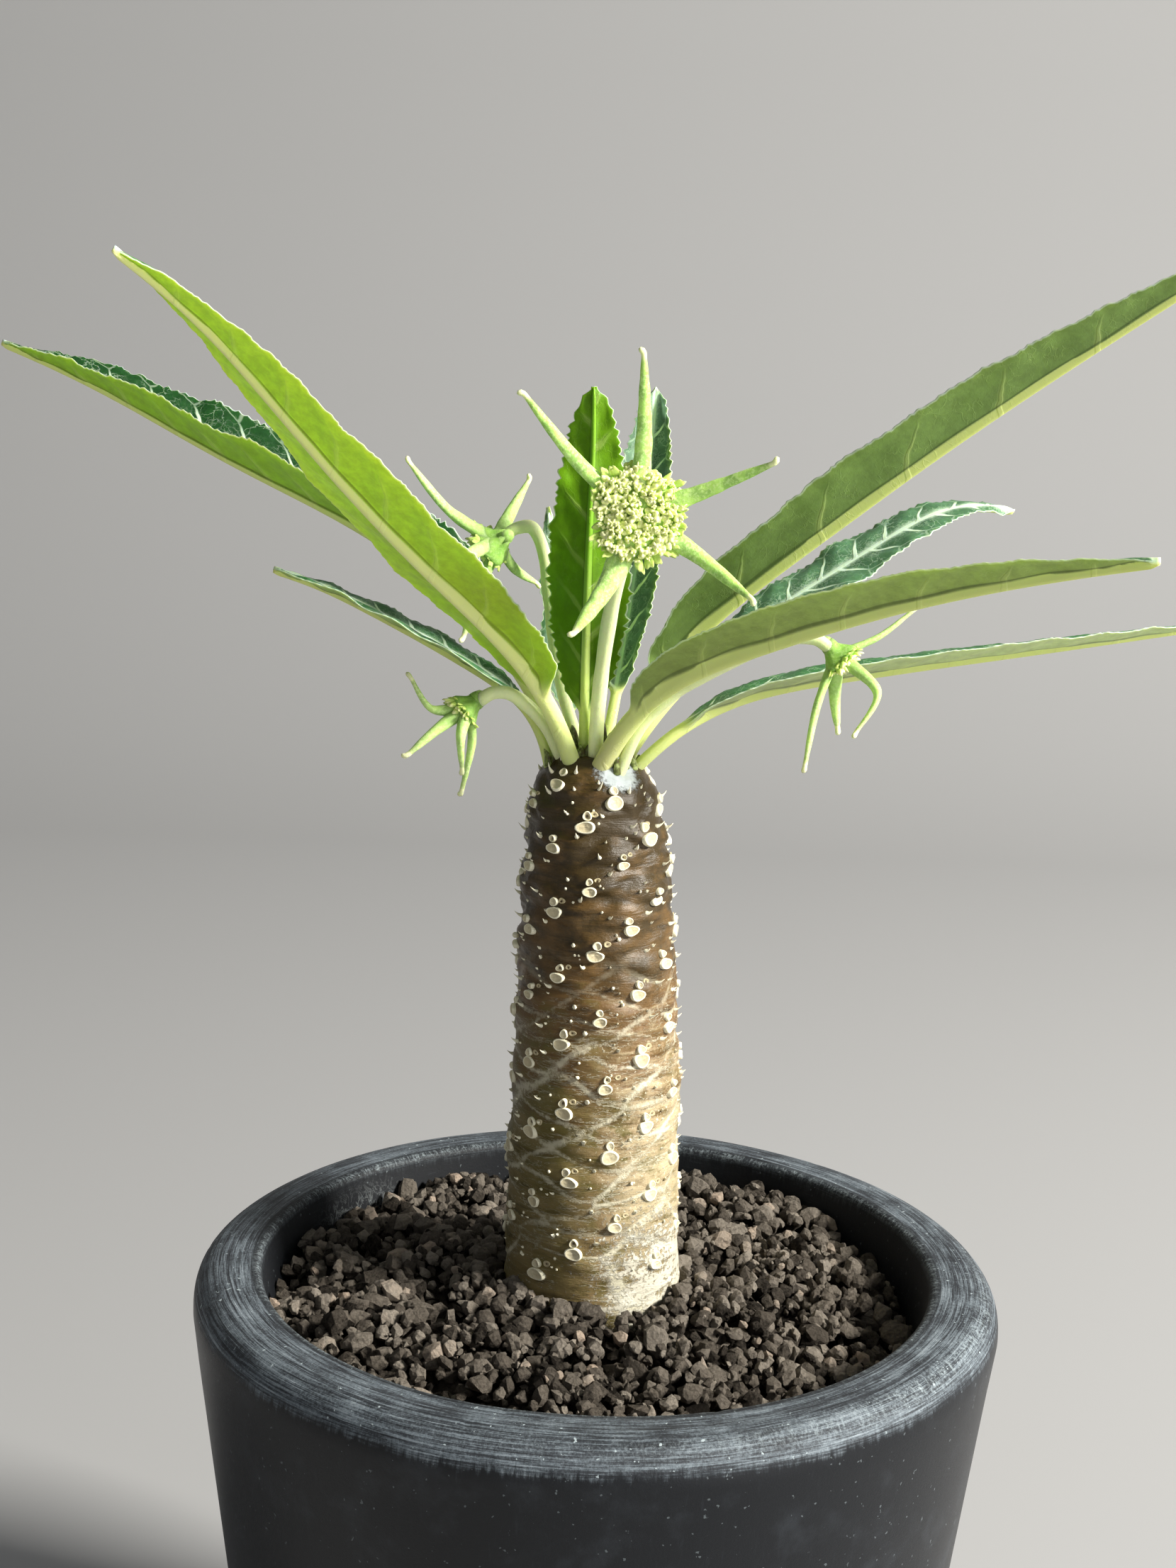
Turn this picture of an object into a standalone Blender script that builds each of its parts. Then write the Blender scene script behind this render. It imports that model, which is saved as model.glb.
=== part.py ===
"""Potted dorstenia: a thick-walled black pot, gritty substrate, a scarred succulent trunk,
ten keeled leaves and four star-shaped flower heads. Sizes below are millimetres."""

from math import atan2, cos, hypot, pi, radians, sin
import random

import bmesh
import bpy
import numpy as np
from mathutils import Matrix, Vector
from mathutils.geometry import delaunay_2d_cdt

for old in list(bpy.data.objects):
    bpy.data.objects.remove(old, do_unlink=True)

MM = 0.001
GAP = 0.3                      # clearance between touching pieces
SEED = 27
SHARP_ANGLE = radians(35)      # steeper edges than this are shaded sharp

# Finishes: colour, roughness
BLACK_PLASTIC = ((0.022, 0.023, 0.026), 0.42)
DARK_GRIT = ((0.050, 0.034, 0.026), 0.9)
BARK = ((0.105, 0.062, 0.030), 0.5)
LEAF_GREEN = ((0.11, 0.22, 0.04), 0.5)
FLOWER_GREEN = ((0.36, 0.48, 0.12), 0.6)

# Pot
POT_HEIGHT = 80.0
POT_FOOT_RADIUS = 35.7
POT_WIDEST_RADIUS = 45.0
POT_EDGE_ROUND = 4.5           # outer rounding of the rim
POT_MOUTH_RADIUS = 37.4        # inner edge of the rim
POT_MOUTH_ROUND = 1.0
POT_TAPER = 0.124              # wall's slope, radius per height
POT_FOOT_CHAMFER = 1.2
POT_FLOOR = 6.0
FLOOR_CORNER = (1.6, 2.0)      # sloped corner between floor and wall: inward, upward
POT_SIDES = 48
DRAIN_COUNT = 6
DRAIN_RADIUS = 3.0
DRAIN_CIRCLE = 21.0
DRAIN_SIDES = 12
CHANNEL_WIDTH = 4.0
CHANNEL_DEPTH = 1.2

# Substrate
GRAIN_PITCH = 5.3              # larger than life: the real grains are about 2 mm
GRAIN_LIFT = 1.3
GRAIN_SHRINK = 0.66            # top of a grain over its foot
GRAIN_TILT = 0.35
GRAIN_JITTER = 0.24            # sideways, as a share of the pitch
SOIL_AT_TRUNK = 78.0
SOIL_HOLE_RADIUS = 10.6
SOIL_HOLE_TAPER_TOP = 74.0     # below this the hole follows the trunk's foot
SOIL_MOUND = 1.6               # exponent of the fall from trunk to wall
SOIL_AT_WALL = [(-150, 74.6), (-100, 73.0), (-55, 71.0), (-15, 70.0), (15, 73.0),
                (50, 76.6), (100, 76.4), (150, 75.2)]     # azimuth, height

# Trunk: height, radius; its axis leans a little to -X
TRUNK_PROFILE = [(54.0, 3.0), (55.5, 5.6), (60.0, 8.2), (68.0, 9.5), (78.0, 9.8), (92.0, 9.5),
                 (111.0, 8.95), (120.0, 8.5), (127.0, 7.9), (132.0, 7.3), (135.3, 6.5),
                 (137.0, 5.2), (138.0, 3.1)]
TRUNK_TOP = 138.4
TRUNK_LEAN = [(54.0, -0.4), (80.0, -0.5), (111.0, -1.05), (127.0, -1.5), (138.4, -2.1)]
TRUNK_SIDES = 28
TRUNK_CLEARANCE = 0.7          # between the trunk and its hole in the substrate
CROWN_LOW = 120.0              # the rows above this make up the crown

# Leaf scars in spiral rows
SCAR_TURN = radians(-138.75)   # angle from one scar to the next one up
SCAR_ANCHOR = (125.0, radians(-94.0))
SCAR_LOW = 81.5
SCAR_HIGH = 133.6
SCAR_STEP_LOW = 0.64           # rise from one scar to the next, at the soil
SCAR_STEP_HIGH = 0.50          # the same, at the crown
SCAR_PROUD = 0.45              # how far a scar stands out of the skin
SCAR_ROOT = 0.8                # and how far it reaches in
# Outline of a round scar with the smaller bud scar above it: across, up
SCAR_OUTLINE = [(-0.92, -0.35), (0.0, -0.98), (0.92, -0.35), (0.72, 0.62), (0.50, 1.55), (-0.50, 1.55),
                (-0.72, 0.62)]

# Buds among the leaf stalks: x, y, height
BUDS = [(-4.3, -0.4, 3.4), (-1.3, -0.3, 4.2), (-0.5, 0.2, 2.4)]
BUD_RADIUS = 0.55
BUD_PROFILE = [(-0.4, 0.8), (0.3, 1.0), (0.7, 0.75), (1.0, 0.25)]   # share of height, of radius

# Leaves. base: x, y on the crown; rises: slope angles at equal steps from base to tip, degrees;
# width: half the blade; fold: how far each half is folded up; roll: turn about the midrib
LEAVES = {
    "leaf_a": dict(base=(-5.0, -3.4), azimuth=-150, rises=(68, 44, 45, 46, 33), length=71.9, stalk=7.5,
                   radius=1.05, width=7.4, fold=7, roll=(15, 9), teeth=14),
    "leaf_b": dict(base=(-5.6, 4.0), azimuth=170, rises=(66, 41, 24, 26, 19), length=80.2, stalk=13.0,
                   radius=0.90, width=6.4, fold=44, roll=(-26, -4), teeth=14),
    "leaf_c": dict(base=(0.5, -1.6), azimuth=-20, rises=(70, 42, 38, 35, 34), length=85.0, stalk=10.5,
                   radius=0.95, width=5.6, fold=56, roll=(12, -12), teeth=15),
    "leaf_d": dict(base=(-1.0, -4.9), azimuth=-40, rises=(59, 28, 20.5, 14.5, 11), length=69.9, stalk=10.5,
                   radius=1.15, width=5.4, fold=20, roll=(-10, 8), teeth=13),
    "leaf_e": dict(base=(1.4, 1.2), azimuth=25, rises=(56, 36, 29, 25, -12), length=56.9, stalk=12.0,
                   radius=0.85, width=3.8, fold=6, roll=(12, 20), teeth=12),
    "leaf_f": dict(base=(2.7, -0.6), azimuth=5, rises=(46, 14, 9, 9, 9), length=69.0, stalk=9.0,
                   radius=0.80, width=4.5, fold=16, roll=(5, -8), teeth=13),
    "leaf_g": dict(base=(-6.9, -0.1), azimuth=168, rises=(76, 33, 25, 22, 12), length=38.6, stalk=6.5,
                   radius=0.75, width=2.9, fold=14, roll=(-6, 2), teeth=9),
    "leaf_h": dict(base=(-3.1, -1.2), azimuth=-100, rises=(78, 87, 91, 94, 79), length=39.1, stalk=4.5,
                   radius=0.62, width=5.2, fold=34, roll=(5, 8), teeth=10),
    "leaf_i": dict(base=(-1.0, 1.9), azimuth=75, rises=(53, 61, 67, 70, 84), length=42.6, stalk=6.5,
                   radius=0.62, width=4.0, fold=38, roll=(-10, 10), teeth=10),
    "leaf_j": dict(base=(-4.1, 3.4), azimuth=118, rises=(60, 66, 78, 75, 71), length=27.5, stalk=4.0,
                   radius=0.50, width=2.7, fold=25, roll=(0, 0), teeth=8),
}
BLADE_HALF_THICKNESS = 0.32
BLADE_ROUND = 0.55             # exponents of the blade's width from its base and from its tip
BLADE_POINT = 0.85
BLADE_OPENS = 0.06             # share of the blade over which it unfolds from the stalk
KEEL_THINS = (0.72, 0.8)       # share of the stalk's radius lost at the tip, exponent
KEEL_CORNER = (0.62, 0.72)     # the keel's lower corners over its radius: sideways, down
STALK_GROOVE = 0.55            # the stalk's upper face over its radius
STALK_EDGE = 0.30
TOOTH_DEPTH = 0.30
WAVE_HEIGHT = 0.30             # the margin's rise and fall
WAVES = 4.5
STALK_SINK = 3.0               # how far a stalk's sweep starts inside the crown
TRACK_STEP = 0.25              # step at which a midrib's slope is followed
TIP_SIZE = 0.32

# Flower heads. stalk: points from the crown to the neck; centre: middle of the florets' face;
# facing: where the florets look; arms: tips, with a point that the arm bends through
FLOWERS = {
    "flower_head_1": dict(
        stalk=[(-5.5, -1.1, 137.4), (-7.1, -1.7, 140.6), (-9.0, -2.3, 143.0), (-11.2, -2.9, 144.6),
               (-13.0, -3.1, 144.7), (-14.4, -3.2, 143.9)],
        stalk_radius=0.72, centre=(-16.3, -3.7, 142.6), facing=(-0.74, -0.34, -0.58), radius=2.2,
        rings=1, arms=[((-19.4, -4.6, 143.0), (-21.6, -4.8, 146.2)),
                       ((-18.8, -5.4, 140.9), (-21.6, -6.4, 138.4)),
                       ((-16.2, -5.6, 140.4), (-16.0, -5.4, 136.8)),
                       ((-15.2, -2.8, 139.2), (-16.2, -2.2, 133.8))]),
    "flower_head_2": dict(
        stalk=[(-3.5, 1.2, 138.0), (-5.4, 2.4, 143.0), (-6.8, 3.2, 149.0), (-7.6, 3.2, 154.6),
               (-8.2, 2.6, 159.0), (-9.4, 1.6, 161.8), (-11.0, 1.0, 161.9), (-12.2, 0.8, 161.2)],
        stalk_radius=0.68, centre=(-14.0, 0.8, 159.8), facing=(-0.76, 0.38, -0.53), radius=3.0,
        rings=2, arms=[((-18.4, 0.2, 163.6), (-22.6, 0.4, 168.4)),
                       ((-12.2, 3.4, 162.8), (-10.2, 4.8, 166.6)),
                       ((-15.6, -2.6, 159.4), (-17.2, -4.6, 157.8)),
                       ((-15.0, -0.6, 155.4), (-16.4, -1.2, 150.4)),
                       ((-11.4, 4.2, 157.2), (-9.2, 6.0, 155.6))]),
    "flower_head_3": dict(
        stalk=[(-2.0, -2.6, 138.1), (-1.8, -4.0, 144.2), (-1.2, -6.6, 151.3), (-0.4, -9.6, 156.9),
               (0.6, -12.4, 161.2), (1.4, -14.4, 164.2)],
        stalk_radius=0.80, centre=(1.5, -17.2, 165.2), facing=(0.05, -0.98, 0.16), radius=4.3,
        rings=2, arms=[((1.9, -16.9, 173.0), (1.6, -18.2, 180.6)),
                       ((8.2, -17.4, 167.8), (14.4, -19.6, 170.7)),
                       ((7.6, -17.8, 161.4), (12.8, -21.6, 157.8)),
                       ((-0.9, -18.0, 158.8), (-4.2, -21.0, 153.9)),
                       ((-4.4, -16.8, 170.0), (-9.8, -17.6, 176.4))]),
    "flower_head_4": dict(
        stalk=[(1.0, -3.9, 137.5), (2.6, -4.6, 141.6), (6.0, -5.8, 145.6), (9.8, -7.4, 148.3),
               (13.6, -8.8, 150.6), (17.2, -9.8, 152.4), (20.0, -10.2, 152.6), (21.4, -10.2, 151.9)],
        stalk_radius=0.68, centre=(23.2, -10.2, 150.3), facing=(0.70, -0.18, -0.69), radius=2.4,
        rings=1, arms=[((26.8, -8.8, 152.8), (30.4, -7.8, 155.6)),
                       ((20.6, -11.6, 145.8), (19.6, -12.6, 139.8)),
                       ((26.6, -12.2, 147.6), (24.6, -13.2, 143.6)),
                       ((22.6, -9.4, 146.4), (23.0, -9.8, 143.4))]),
}
FLOWER_DEPTH = 2.6             # from the florets' face to the neck
CUP_PROFILE = [(1.06, -0.23), (0.62, -0.55), (0.0, -1.0)]   # share of face radius, of depth
FLORET_PITCH = 1.9
FLORET_LIFT = 0.75
FLORET_SHRINK = 0.58
FLORET_TILT = 0.25
FLORET_DOME = 0.5
LOBE_LOW = 0.90                # the cup's outline between two arms, over its radius
LOBE_RISE = 0.22               # what it gains towards an arm
LOBE_SHARPNESS = 6
ARM_RADIUS = 0.95
ARM_TIP_RADIUS = 0.28
ARM_KNOB = 0.6                 # length of the blunt knob at an arm's tip
ARM_ROOT = 0.95                # how far behind the florets' face an arm starts
LARGEST_HEAD = 4.4             # face radius at which an arm has its full thickness
ARM_SIDES = 5
ARM_STEPS = 4
STALK_SIDES = 6


def material(name, finish, metallic=0.0):
    """A Principled material of one plain finish: (colour, roughness)."""
    colour, roughness = finish
    made = bpy.data.materials.new(name)
    made.use_nodes = True
    shader = made.node_tree.nodes["Principled BSDF"]
    shader.inputs["Base Color"].default_value = (*colour, 1.0)
    shader.inputs["Roughness"].default_value = roughness
    shader.inputs["Metallic"].default_value = metallic
    return made


def curve_value(rows, x):
    """Reading at x of hand-set (x, y) rows, straight between them."""
    xs = [row[0] for row in rows]
    ys = [row[1] for row in rows]
    return float(np.interp(x, xs, ys))


def smooth_list(values, t):
    """Value at t in 0..1 along evenly spaced values, eased by a Catmull-Rom curve."""
    last = len(values) - 1
    place = min(max(t, 0.0), 1.0) * last
    i = min(int(place), last - 1)
    f = place - i
    a = values[max(i - 1, 0)]
    b = values[i]
    c = values[i + 1]
    d = values[min(i + 2, last)]
    bend = 2 * a - 5 * b + 4 * c - d
    twist = 3 * b - 3 * c + d - a
    return 0.5 * (2 * b + (c - a) * f + bend * f ** 2 + twist * f ** 3)


def finish_object(name, bm, paint=None):
    """Turn a bmesh in millimetres into an outward-facing object in metres, with its material."""
    bmesh.ops.recalc_face_normals(bm, faces=bm.faces)
    bmesh.ops.scale(bm, vec=(MM, MM, MM), verts=bm.verts)
    mesh = bpy.data.meshes.new(name)
    bm.to_mesh(mesh)
    bm.free()
    if paint:
        mesh.materials.append(paint)
    made = bpy.data.objects.new(name, mesh)
    bpy.context.scene.collection.objects.link(made)
    return made


def skin(rings, flip_columns=()):
    """Closed bmesh over rings of equal length, with flat caps; each quad is split into triangles."""
    bm = bmesh.new()
    loops = [[bm.verts.new(point) for point in ring] for ring in rings]
    count = len(loops[0])
    for low, high in zip(loops, loops[1:]):
        for j in range(count):
            k = (j + 1) % count
            if j in flip_columns:
                bm.faces.new((low[j], low[k], high[j]))
                bm.faces.new((low[k], high[k], high[j]))
            else:
                bm.faces.new((low[j], low[k], high[k]))
                bm.faces.new((low[j], high[k], high[j]))
    bm.faces.new(loops[0][::-1])
    bm.faces.new(loops[-1])
    return bm


def circle(centre, radius, sides, u=Vector((1, 0, 0)), v=Vector((0, 1, 0)), start=0.0):
    """Points round a centre in the plane of u and v."""
    turns = [start + 2 * pi * i / sides for i in range(sides)]
    return [Vector(centre) + u * radius * cos(a) + v * radius * sin(a) for a in turns]


def frames_along(points):
    """A tangent and two side directions at each point, carried along without twist."""
    tangents = []
    for i in range(len(points)):
        tangents.append((points[min(i + 1, len(points) - 1)] - points[max(i - 1, 0)]).normalized())
    side = tangents[0].orthogonal().normalized()
    frames = []
    for tangent in tangents:
        side = (side - tangent * side.dot(tangent)).normalized()
        frames.append((tangent, side, tangent.cross(side)))
    return frames


def tube(points, radii, sides):
    """Rings of a round tube along points."""
    rings = []
    for point, radius, (_, u, v) in zip(points, radii, frames_along(points)):
        rings.append(circle(point, radius, sides, u, v))
    return rings


def route(points, steps):
    """Smooth run of points through hand-set ones."""
    axes = [[p[i] for p in points] for i in range(3)]
    return [Vector([smooth_list(axis, k / steps) for axis in axes]) for k in range(steps + 1)]


def join_all(body, parts):
    """Union of a body with all its parts, applied, with the parts then removed."""
    group = bpy.data.collections.new("parts_of_" + body.name)
    for part in parts:
        group.objects.link(part)
    union = body.modifiers.new("union", "BOOLEAN")
    union.operation = "UNION"
    union.operand_type = "COLLECTION"
    union.collection = group
    union.solver = "EXACT"
    apply_modifiers(body)
    for part in parts:
        bpy.data.objects.remove(part, do_unlink=True)
    bpy.data.collections.remove(group)


def cut(body, cutter):
    """Take a cutter's shape out of a body."""
    hole = body.modifiers.new("cut", "BOOLEAN")
    hole.operation = "DIFFERENCE"
    hole.object = cutter
    hole.solver = "EXACT"
    apply_modifiers(body)


def apply_modifiers(body):
    """Keep a body's evaluated mesh as its own."""
    evaluated = body.evaluated_get(bpy.context.evaluated_depsgraph_get())
    mesh = bpy.data.meshes.new_from_object(evaluated)
    body.modifiers.clear()
    body.data = mesh


def pot_wall_radius(z):
    """Inner wall's radius at a height."""
    return POT_MOUTH_RADIUS - POT_TAPER * (POT_HEIGHT - z)


def make_pot():
    """Turned thick wall with a broad flat rim, and a flat foot with drain holes and channels."""
    profile = [(0.0, 0.0), (POT_FOOT_RADIUS - POT_FOOT_CHAMFER, 0.0), (POT_FOOT_RADIUS, POT_FOOT_CHAMFER)]
    edge = (POT_WIDEST_RADIUS - POT_EDGE_ROUND, POT_HEIGHT - POT_EDGE_ROUND)
    for degrees in (0, 22, 45, 67, 90):
        turn = radians(degrees)
        profile.append((edge[0] + POT_EDGE_ROUND * cos(turn), edge[1] + POT_EDGE_ROUND * sin(turn)))
    for degrees in (90, 135, 180):
        turn = radians(degrees)
        profile.append((POT_MOUTH_RADIUS + POT_MOUTH_ROUND * (1 + cos(turn)),
                        POT_HEIGHT - POT_MOUTH_ROUND * (1 - sin(turn))))
    inward, upward = FLOOR_CORNER
    profile.append((pot_wall_radius(POT_FLOOR + upward), POT_FLOOR + upward))
    profile.append((pot_wall_radius(POT_FLOOR) - inward, POT_FLOOR))
    profile.append((0.0, POT_FLOOR))
    bm = bmesh.new()
    rings = []
    for radius, z in profile:
        if radius == 0.0:
            rings.append([bm.verts.new((0, 0, z))])
        else:
            rings.append([bm.verts.new(p) for p in circle((0, 0, z), radius, POT_SIDES)])
    for low, high in zip(rings, rings[1:]):
        for j in range(POT_SIDES):
            k = (j + 1) % POT_SIDES
            if len(low) == 1:
                bm.faces.new((low[0], high[j], high[k]))
            elif len(high) == 1:
                bm.faces.new((low[j], high[0], low[k]))
            else:
                bm.faces.new((low[j], high[j], high[k], low[k]))
    pot = finish_object("pot", bm, material("pot_plastic", BLACK_PLASTIC))
    drains = bmesh.new()
    channels = bmesh.new()
    for i in range(DRAIN_COUNT):
        spin = Matrix.Rotation(2 * pi * (i + 0.5) / DRAIN_COUNT, 4, "Z")
        hole = bmesh.ops.create_cone(drains, cap_ends=True, segments=DRAIN_SIDES, radius1=DRAIN_RADIUS,
                                     radius2=DRAIN_RADIUS, depth=3 * POT_FLOOR)["verts"]
        bmesh.ops.translate(drains, vec=(DRAIN_CIRCLE, 0, 0), verts=hole)
        bmesh.ops.transform(drains, matrix=spin, verts=hole)
        bar = bmesh.ops.create_cube(channels, size=1.0)["verts"]
        bmesh.ops.scale(channels, vec=(POT_FOOT_RADIUS, CHANNEL_WIDTH, 2 * CHANNEL_DEPTH), verts=bar)
        bmesh.ops.translate(channels, vec=(DRAIN_CIRCLE + POT_FOOT_RADIUS / 2, 0, 0), verts=bar)
        bmesh.ops.transform(channels, matrix=spin, verts=bar)
    for name, shape in (("drain_cutter", drains), ("channel_cutter", channels)):
        cutter = finish_object(name, shape)
        cut(pot, cutter)
        bpy.data.objects.remove(cutter, do_unlink=True)
    return pot


def cell_polygons(sites, rim_counts):
    """Polygons that tile a flat field of sites, one round each site.

    The first sites form closed rims, in order round each one. A corner is the middle of three
    neighbouring sites, and a rim's cell also has its own site and the middles beside it."""
    rim_of = {}
    nexts = {}
    start = 0
    for rim, count in enumerate(rim_counts):
        for i in range(count):
            rim_of[start + i] = rim
            nexts[start + i] = (start + (i - 1) % count, start + (i + 1) % count)
        start += count
    triangles = delaunay_2d_cdt([Vector(site) for site in sites], [], [], 0, 1e-6)[2]
    corners = {i: [] for i in range(len(sites))}
    for triangle in triangles:
        rims = {rim_of.get(i, -1) for i in triangle}
        if len(rims) == 1 and rims != {-1} and len(rim_counts) > 1:
            continue
        middle = sum((Vector(sites[i]) for i in triangle), Vector((0, 0))) / 3
        for i in triangle:
            corners[i].append(tuple(round(c, 5) for c in middle))
    polygons = []
    for i, found in corners.items():
        points = list(found)
        if i in nexts:
            points.append(tuple(round(c, 5) for c in sites[i]))
            for j in nexts[i]:
                points.append(tuple(round((a + b) / 2, 5) for a, b in zip(sites[i], sites[j])))
        middle = sum((Vector(p) for p in points), Vector((0, 0))) / len(points)
        points.sort(key=lambda p: atan2(p[1] - middle.y, p[0] - middle.x))
        polygons.append(points)
    return polygons


def raised_cells(sites, rim_counts, lift, shrink, tilt, draw):
    """Open bmesh of a tiled field in the plane z=0, each cell raised as a separate block."""
    bm = bmesh.new()
    known = {}
    cells = []
    for polygon in cell_polygons(sites, rim_counts):
        for point in polygon:
            if point not in known:
                known[point] = bm.verts.new((*point, 0.0))
        cells.append(bm.faces.new([known[point] for point in polygon]))
    tops = bmesh.ops.extrude_discrete_faces(bm, faces=cells)["faces"]
    for top in tops:
        middle = top.calc_center_median()
        size = shrink * draw.uniform(0.88, 1.08)
        height = lift * draw.uniform(0.6, 1.25)
        slope = Vector((draw.uniform(-tilt, tilt), draw.uniform(-tilt, tilt), 0.0))
        for vert in top.verts:
            away = vert.co - middle
            vert.co = middle + away * size
            vert.co.z = height + away.dot(slope) * size
    return bm


def boundary_loops(bm):
    """The open edges of a bmesh, as vertex loops from the widest to the narrowest."""
    edges = {edge for edge in bm.edges if len(edge.link_faces) == 1}
    loops = []
    while edges:
        edge = edges.pop()
        loop = [edge.verts[0], edge.verts[1]]
        while True:
            step = next((e for e in loop[-1].link_edges if e in edges), None)
            if step is None:
                break
            edges.remove(step)
            follower = step.other_vert(loop[-1])
            if follower is loop[0]:
                break
            loop.append(follower)
        loops.append(loop)
    loops.sort(key=lambda loop: -max(vert.co.xy.length for vert in loop))
    return loops


def close_down(bm, loop, rings):
    """Walls from a loop through rings of (centre, radius, z), with a flat cap at the last."""
    turns = [atan2(vert.co.y - rings[0][0][1], vert.co.x - rings[0][0][0]) for vert in loop]
    above = loop
    for (x, y), radius, z in rings:
        below = [bm.verts.new((x + radius * cos(a), y + radius * sin(a), z)) for a in turns]
        for j in range(len(loop)):
            k = (j + 1) % len(loop)
            bm.faces.new((above[j], above[k], below[k], below[j]))
        above = below
    bm.faces.new(above)


def soil_height(x, y):
    """Soil's mean height: mounded at the trunk, with its own level round the wall."""
    turn = np.degrees(atan2(y, x))
    azimuths = [a for a, _ in SOIL_AT_WALL]
    levels = [z for _, z in SOIL_AT_WALL]
    at_wall = float(np.interp(turn, azimuths, levels, period=360))
    out = (hypot(x, y) - SOIL_HOLE_RADIUS) / (POT_MOUTH_RADIUS - SOIL_HOLE_RADIUS)
    return SOIL_AT_TRUNK + (at_wall - SOIL_AT_TRUNK) * max(out, 0.0) ** SOIL_MOUND


def ring_sites(radius, pitch, centre=(0.0, 0.0), jitter=0.0, draw=None):
    """Sites evenly round a circle, about one pitch apart, each moved a little if asked."""
    count = max(6, round(2 * pi * radius / pitch))
    sites = []
    for i in range(count):
        turn = 2 * pi * i / count
        move = (draw.uniform(-jitter, jitter), draw.uniform(-jitter, jitter)) if draw else (0.0, 0.0)
        sites.append((centre[0] + radius * cos(turn) + move[0], centre[1] + radius * sin(turn) + move[1]))
    return sites


def make_substrate():
    """Fill of grit: cells raised as blocks over a mounded field, closed down to the pot's floor."""
    draw = random.Random(SEED)
    wall = pot_wall_radius(SOIL_AT_TRUNK) - GAP
    axis = trunk_axis(SOIL_AT_TRUNK)
    hole = ring_sites(SOIL_HOLE_RADIUS, GRAIN_PITCH, axis)
    rim = ring_sites(wall, GRAIN_PITCH)
    sites = rim + hole
    between = round((wall - SOIL_HOLE_RADIUS) / (GRAIN_PITCH * 0.9))
    for i in range(1, between):
        part = i / between
        radius = SOIL_HOLE_RADIUS + (wall - SOIL_HOLE_RADIUS) * part
        middle = (axis[0] * (1 - part), axis[1] * (1 - part))
        sites += ring_sites(radius, GRAIN_PITCH, middle, GRAIN_JITTER * GRAIN_PITCH, draw)
    bm = raised_cells(sites, [len(rim), len(hole)], GRAIN_LIFT, GRAIN_SHRINK, GRAIN_TILT, draw)
    outer, inner = boundary_loops(bm)
    for vert in bm.verts:
        vert.co.z += soil_height(vert.co.x, vert.co.y) - GRAIN_LIFT / 2
        inset = 1 - (pot_wall_radius(vert.co.z) - GAP) / wall
        vert.co.xy *= 1 - inset * min(vert.co.xy.length / wall, 1.0)
    inward, upward = FLOOR_CORNER
    low = POT_FLOOR + GAP
    close_down(bm, outer, [((0, 0), pot_wall_radius(low + upward) - GAP, low + upward),
                           ((0, 0), pot_wall_radius(POT_FLOOR) - inward - GAP, low)])
    rings = []
    for z, radius in reversed(TRUNK_PROFILE):
        if z < SOIL_HOLE_TAPER_TOP:
            rings.append((trunk_axis(z), radius + TRUNK_CLEARANCE, z))
    foot_z, foot_radius = TRUNK_PROFILE[0]
    rings.append((trunk_axis(foot_z - GAP), foot_radius + GAP, foot_z - GAP))
    close_down(bm, inner, rings)
    return finish_object("substrate", bm, material("substrate_grit", DARK_GRIT))


def trunk_axis(z):
    """The trunk's middle at a height."""
    return (curve_value(TRUNK_LEAN, z), 0.0)


def trunk_radius(z):
    """The trunk's radius at a height."""
    return curve_value(TRUNK_PROFILE, z)


def crown_height(x, y):
    """Height of the crown's surface at a place on it."""
    cx, cy = trunk_axis(TRUNK_TOP)
    out = hypot(x - cx, y - cy)
    rows = [(0.0, TRUNK_TOP)] + [(radius, z) for z, radius in reversed(TRUNK_PROFILE) if z > CROWN_LOW]
    return curve_value(rows, out)


def trunk_body(name, grow=0.0, paint=None):
    """Turned trunk, or its shape grown by a clearance."""
    rings = []
    for z, radius in TRUNK_PROFILE:
        x, y = trunk_axis(z)
        lift = grow if z > CROWN_LOW else -grow
        rings.append(circle((x, y, z + lift), radius + grow, TRUNK_SIDES))
    bm = skin(rings)
    top = Vector((*trunk_axis(TRUNK_TOP), TRUNK_TOP + grow))
    cap = max(bm.faces, key=lambda face: face.calc_center_median().z)
    bmesh.ops.poke(bm, faces=[cap])
    max(bm.verts, key=lambda vert: len(vert.link_edges) * (vert.co.z > SCAR_HIGH)).co = top
    return finish_object(name, bm, paint)


def scar_places():
    """Height and angle of each leaf scar, up the spiral."""
    places = []
    z, turn = SCAR_ANCHOR
    while z > SCAR_LOW:
        z -= scar_step(z)
        turn -= SCAR_TURN
    while z < SCAR_HIGH:
        z += scar_step(z)
        turn += SCAR_TURN
        if SCAR_LOW < z < SCAR_HIGH:
            places.append((z, turn))
    return places


def scar_step(z):
    """Rise from a scar to the next one up the spiral."""
    part = (z - SCAR_LOW) / (SCAR_HIGH - SCAR_LOW)
    return SCAR_STEP_LOW + (SCAR_STEP_HIGH - SCAR_STEP_LOW) * min(max(part, 0.0), 1.0)


def scar_on_trunk(name, z, turn):
    """A leaf scar and its bud scar, standing a little out of the trunk's skin and square to it."""
    x, y = trunk_axis(z)
    slope = trunk_radius(z + 0.5) - trunk_radius(z - 0.5)
    out = Vector((cos(turn), sin(turn), -slope)).normalized()
    side = Vector((-sin(turn), cos(turn), 0.0))
    up = out.cross(side)
    at = Vector((x + trunk_radius(z) * cos(turn), y + trunk_radius(z) * sin(turn), z))
    outline = [side * across + up * high for across, high in SCAR_OUTLINE]
    root = [at - out * SCAR_ROOT + point for point in outline]
    face = [at + out * SCAR_PROUD + point for point in outline]
    return finish_object(name, skin([root, face]))


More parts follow.
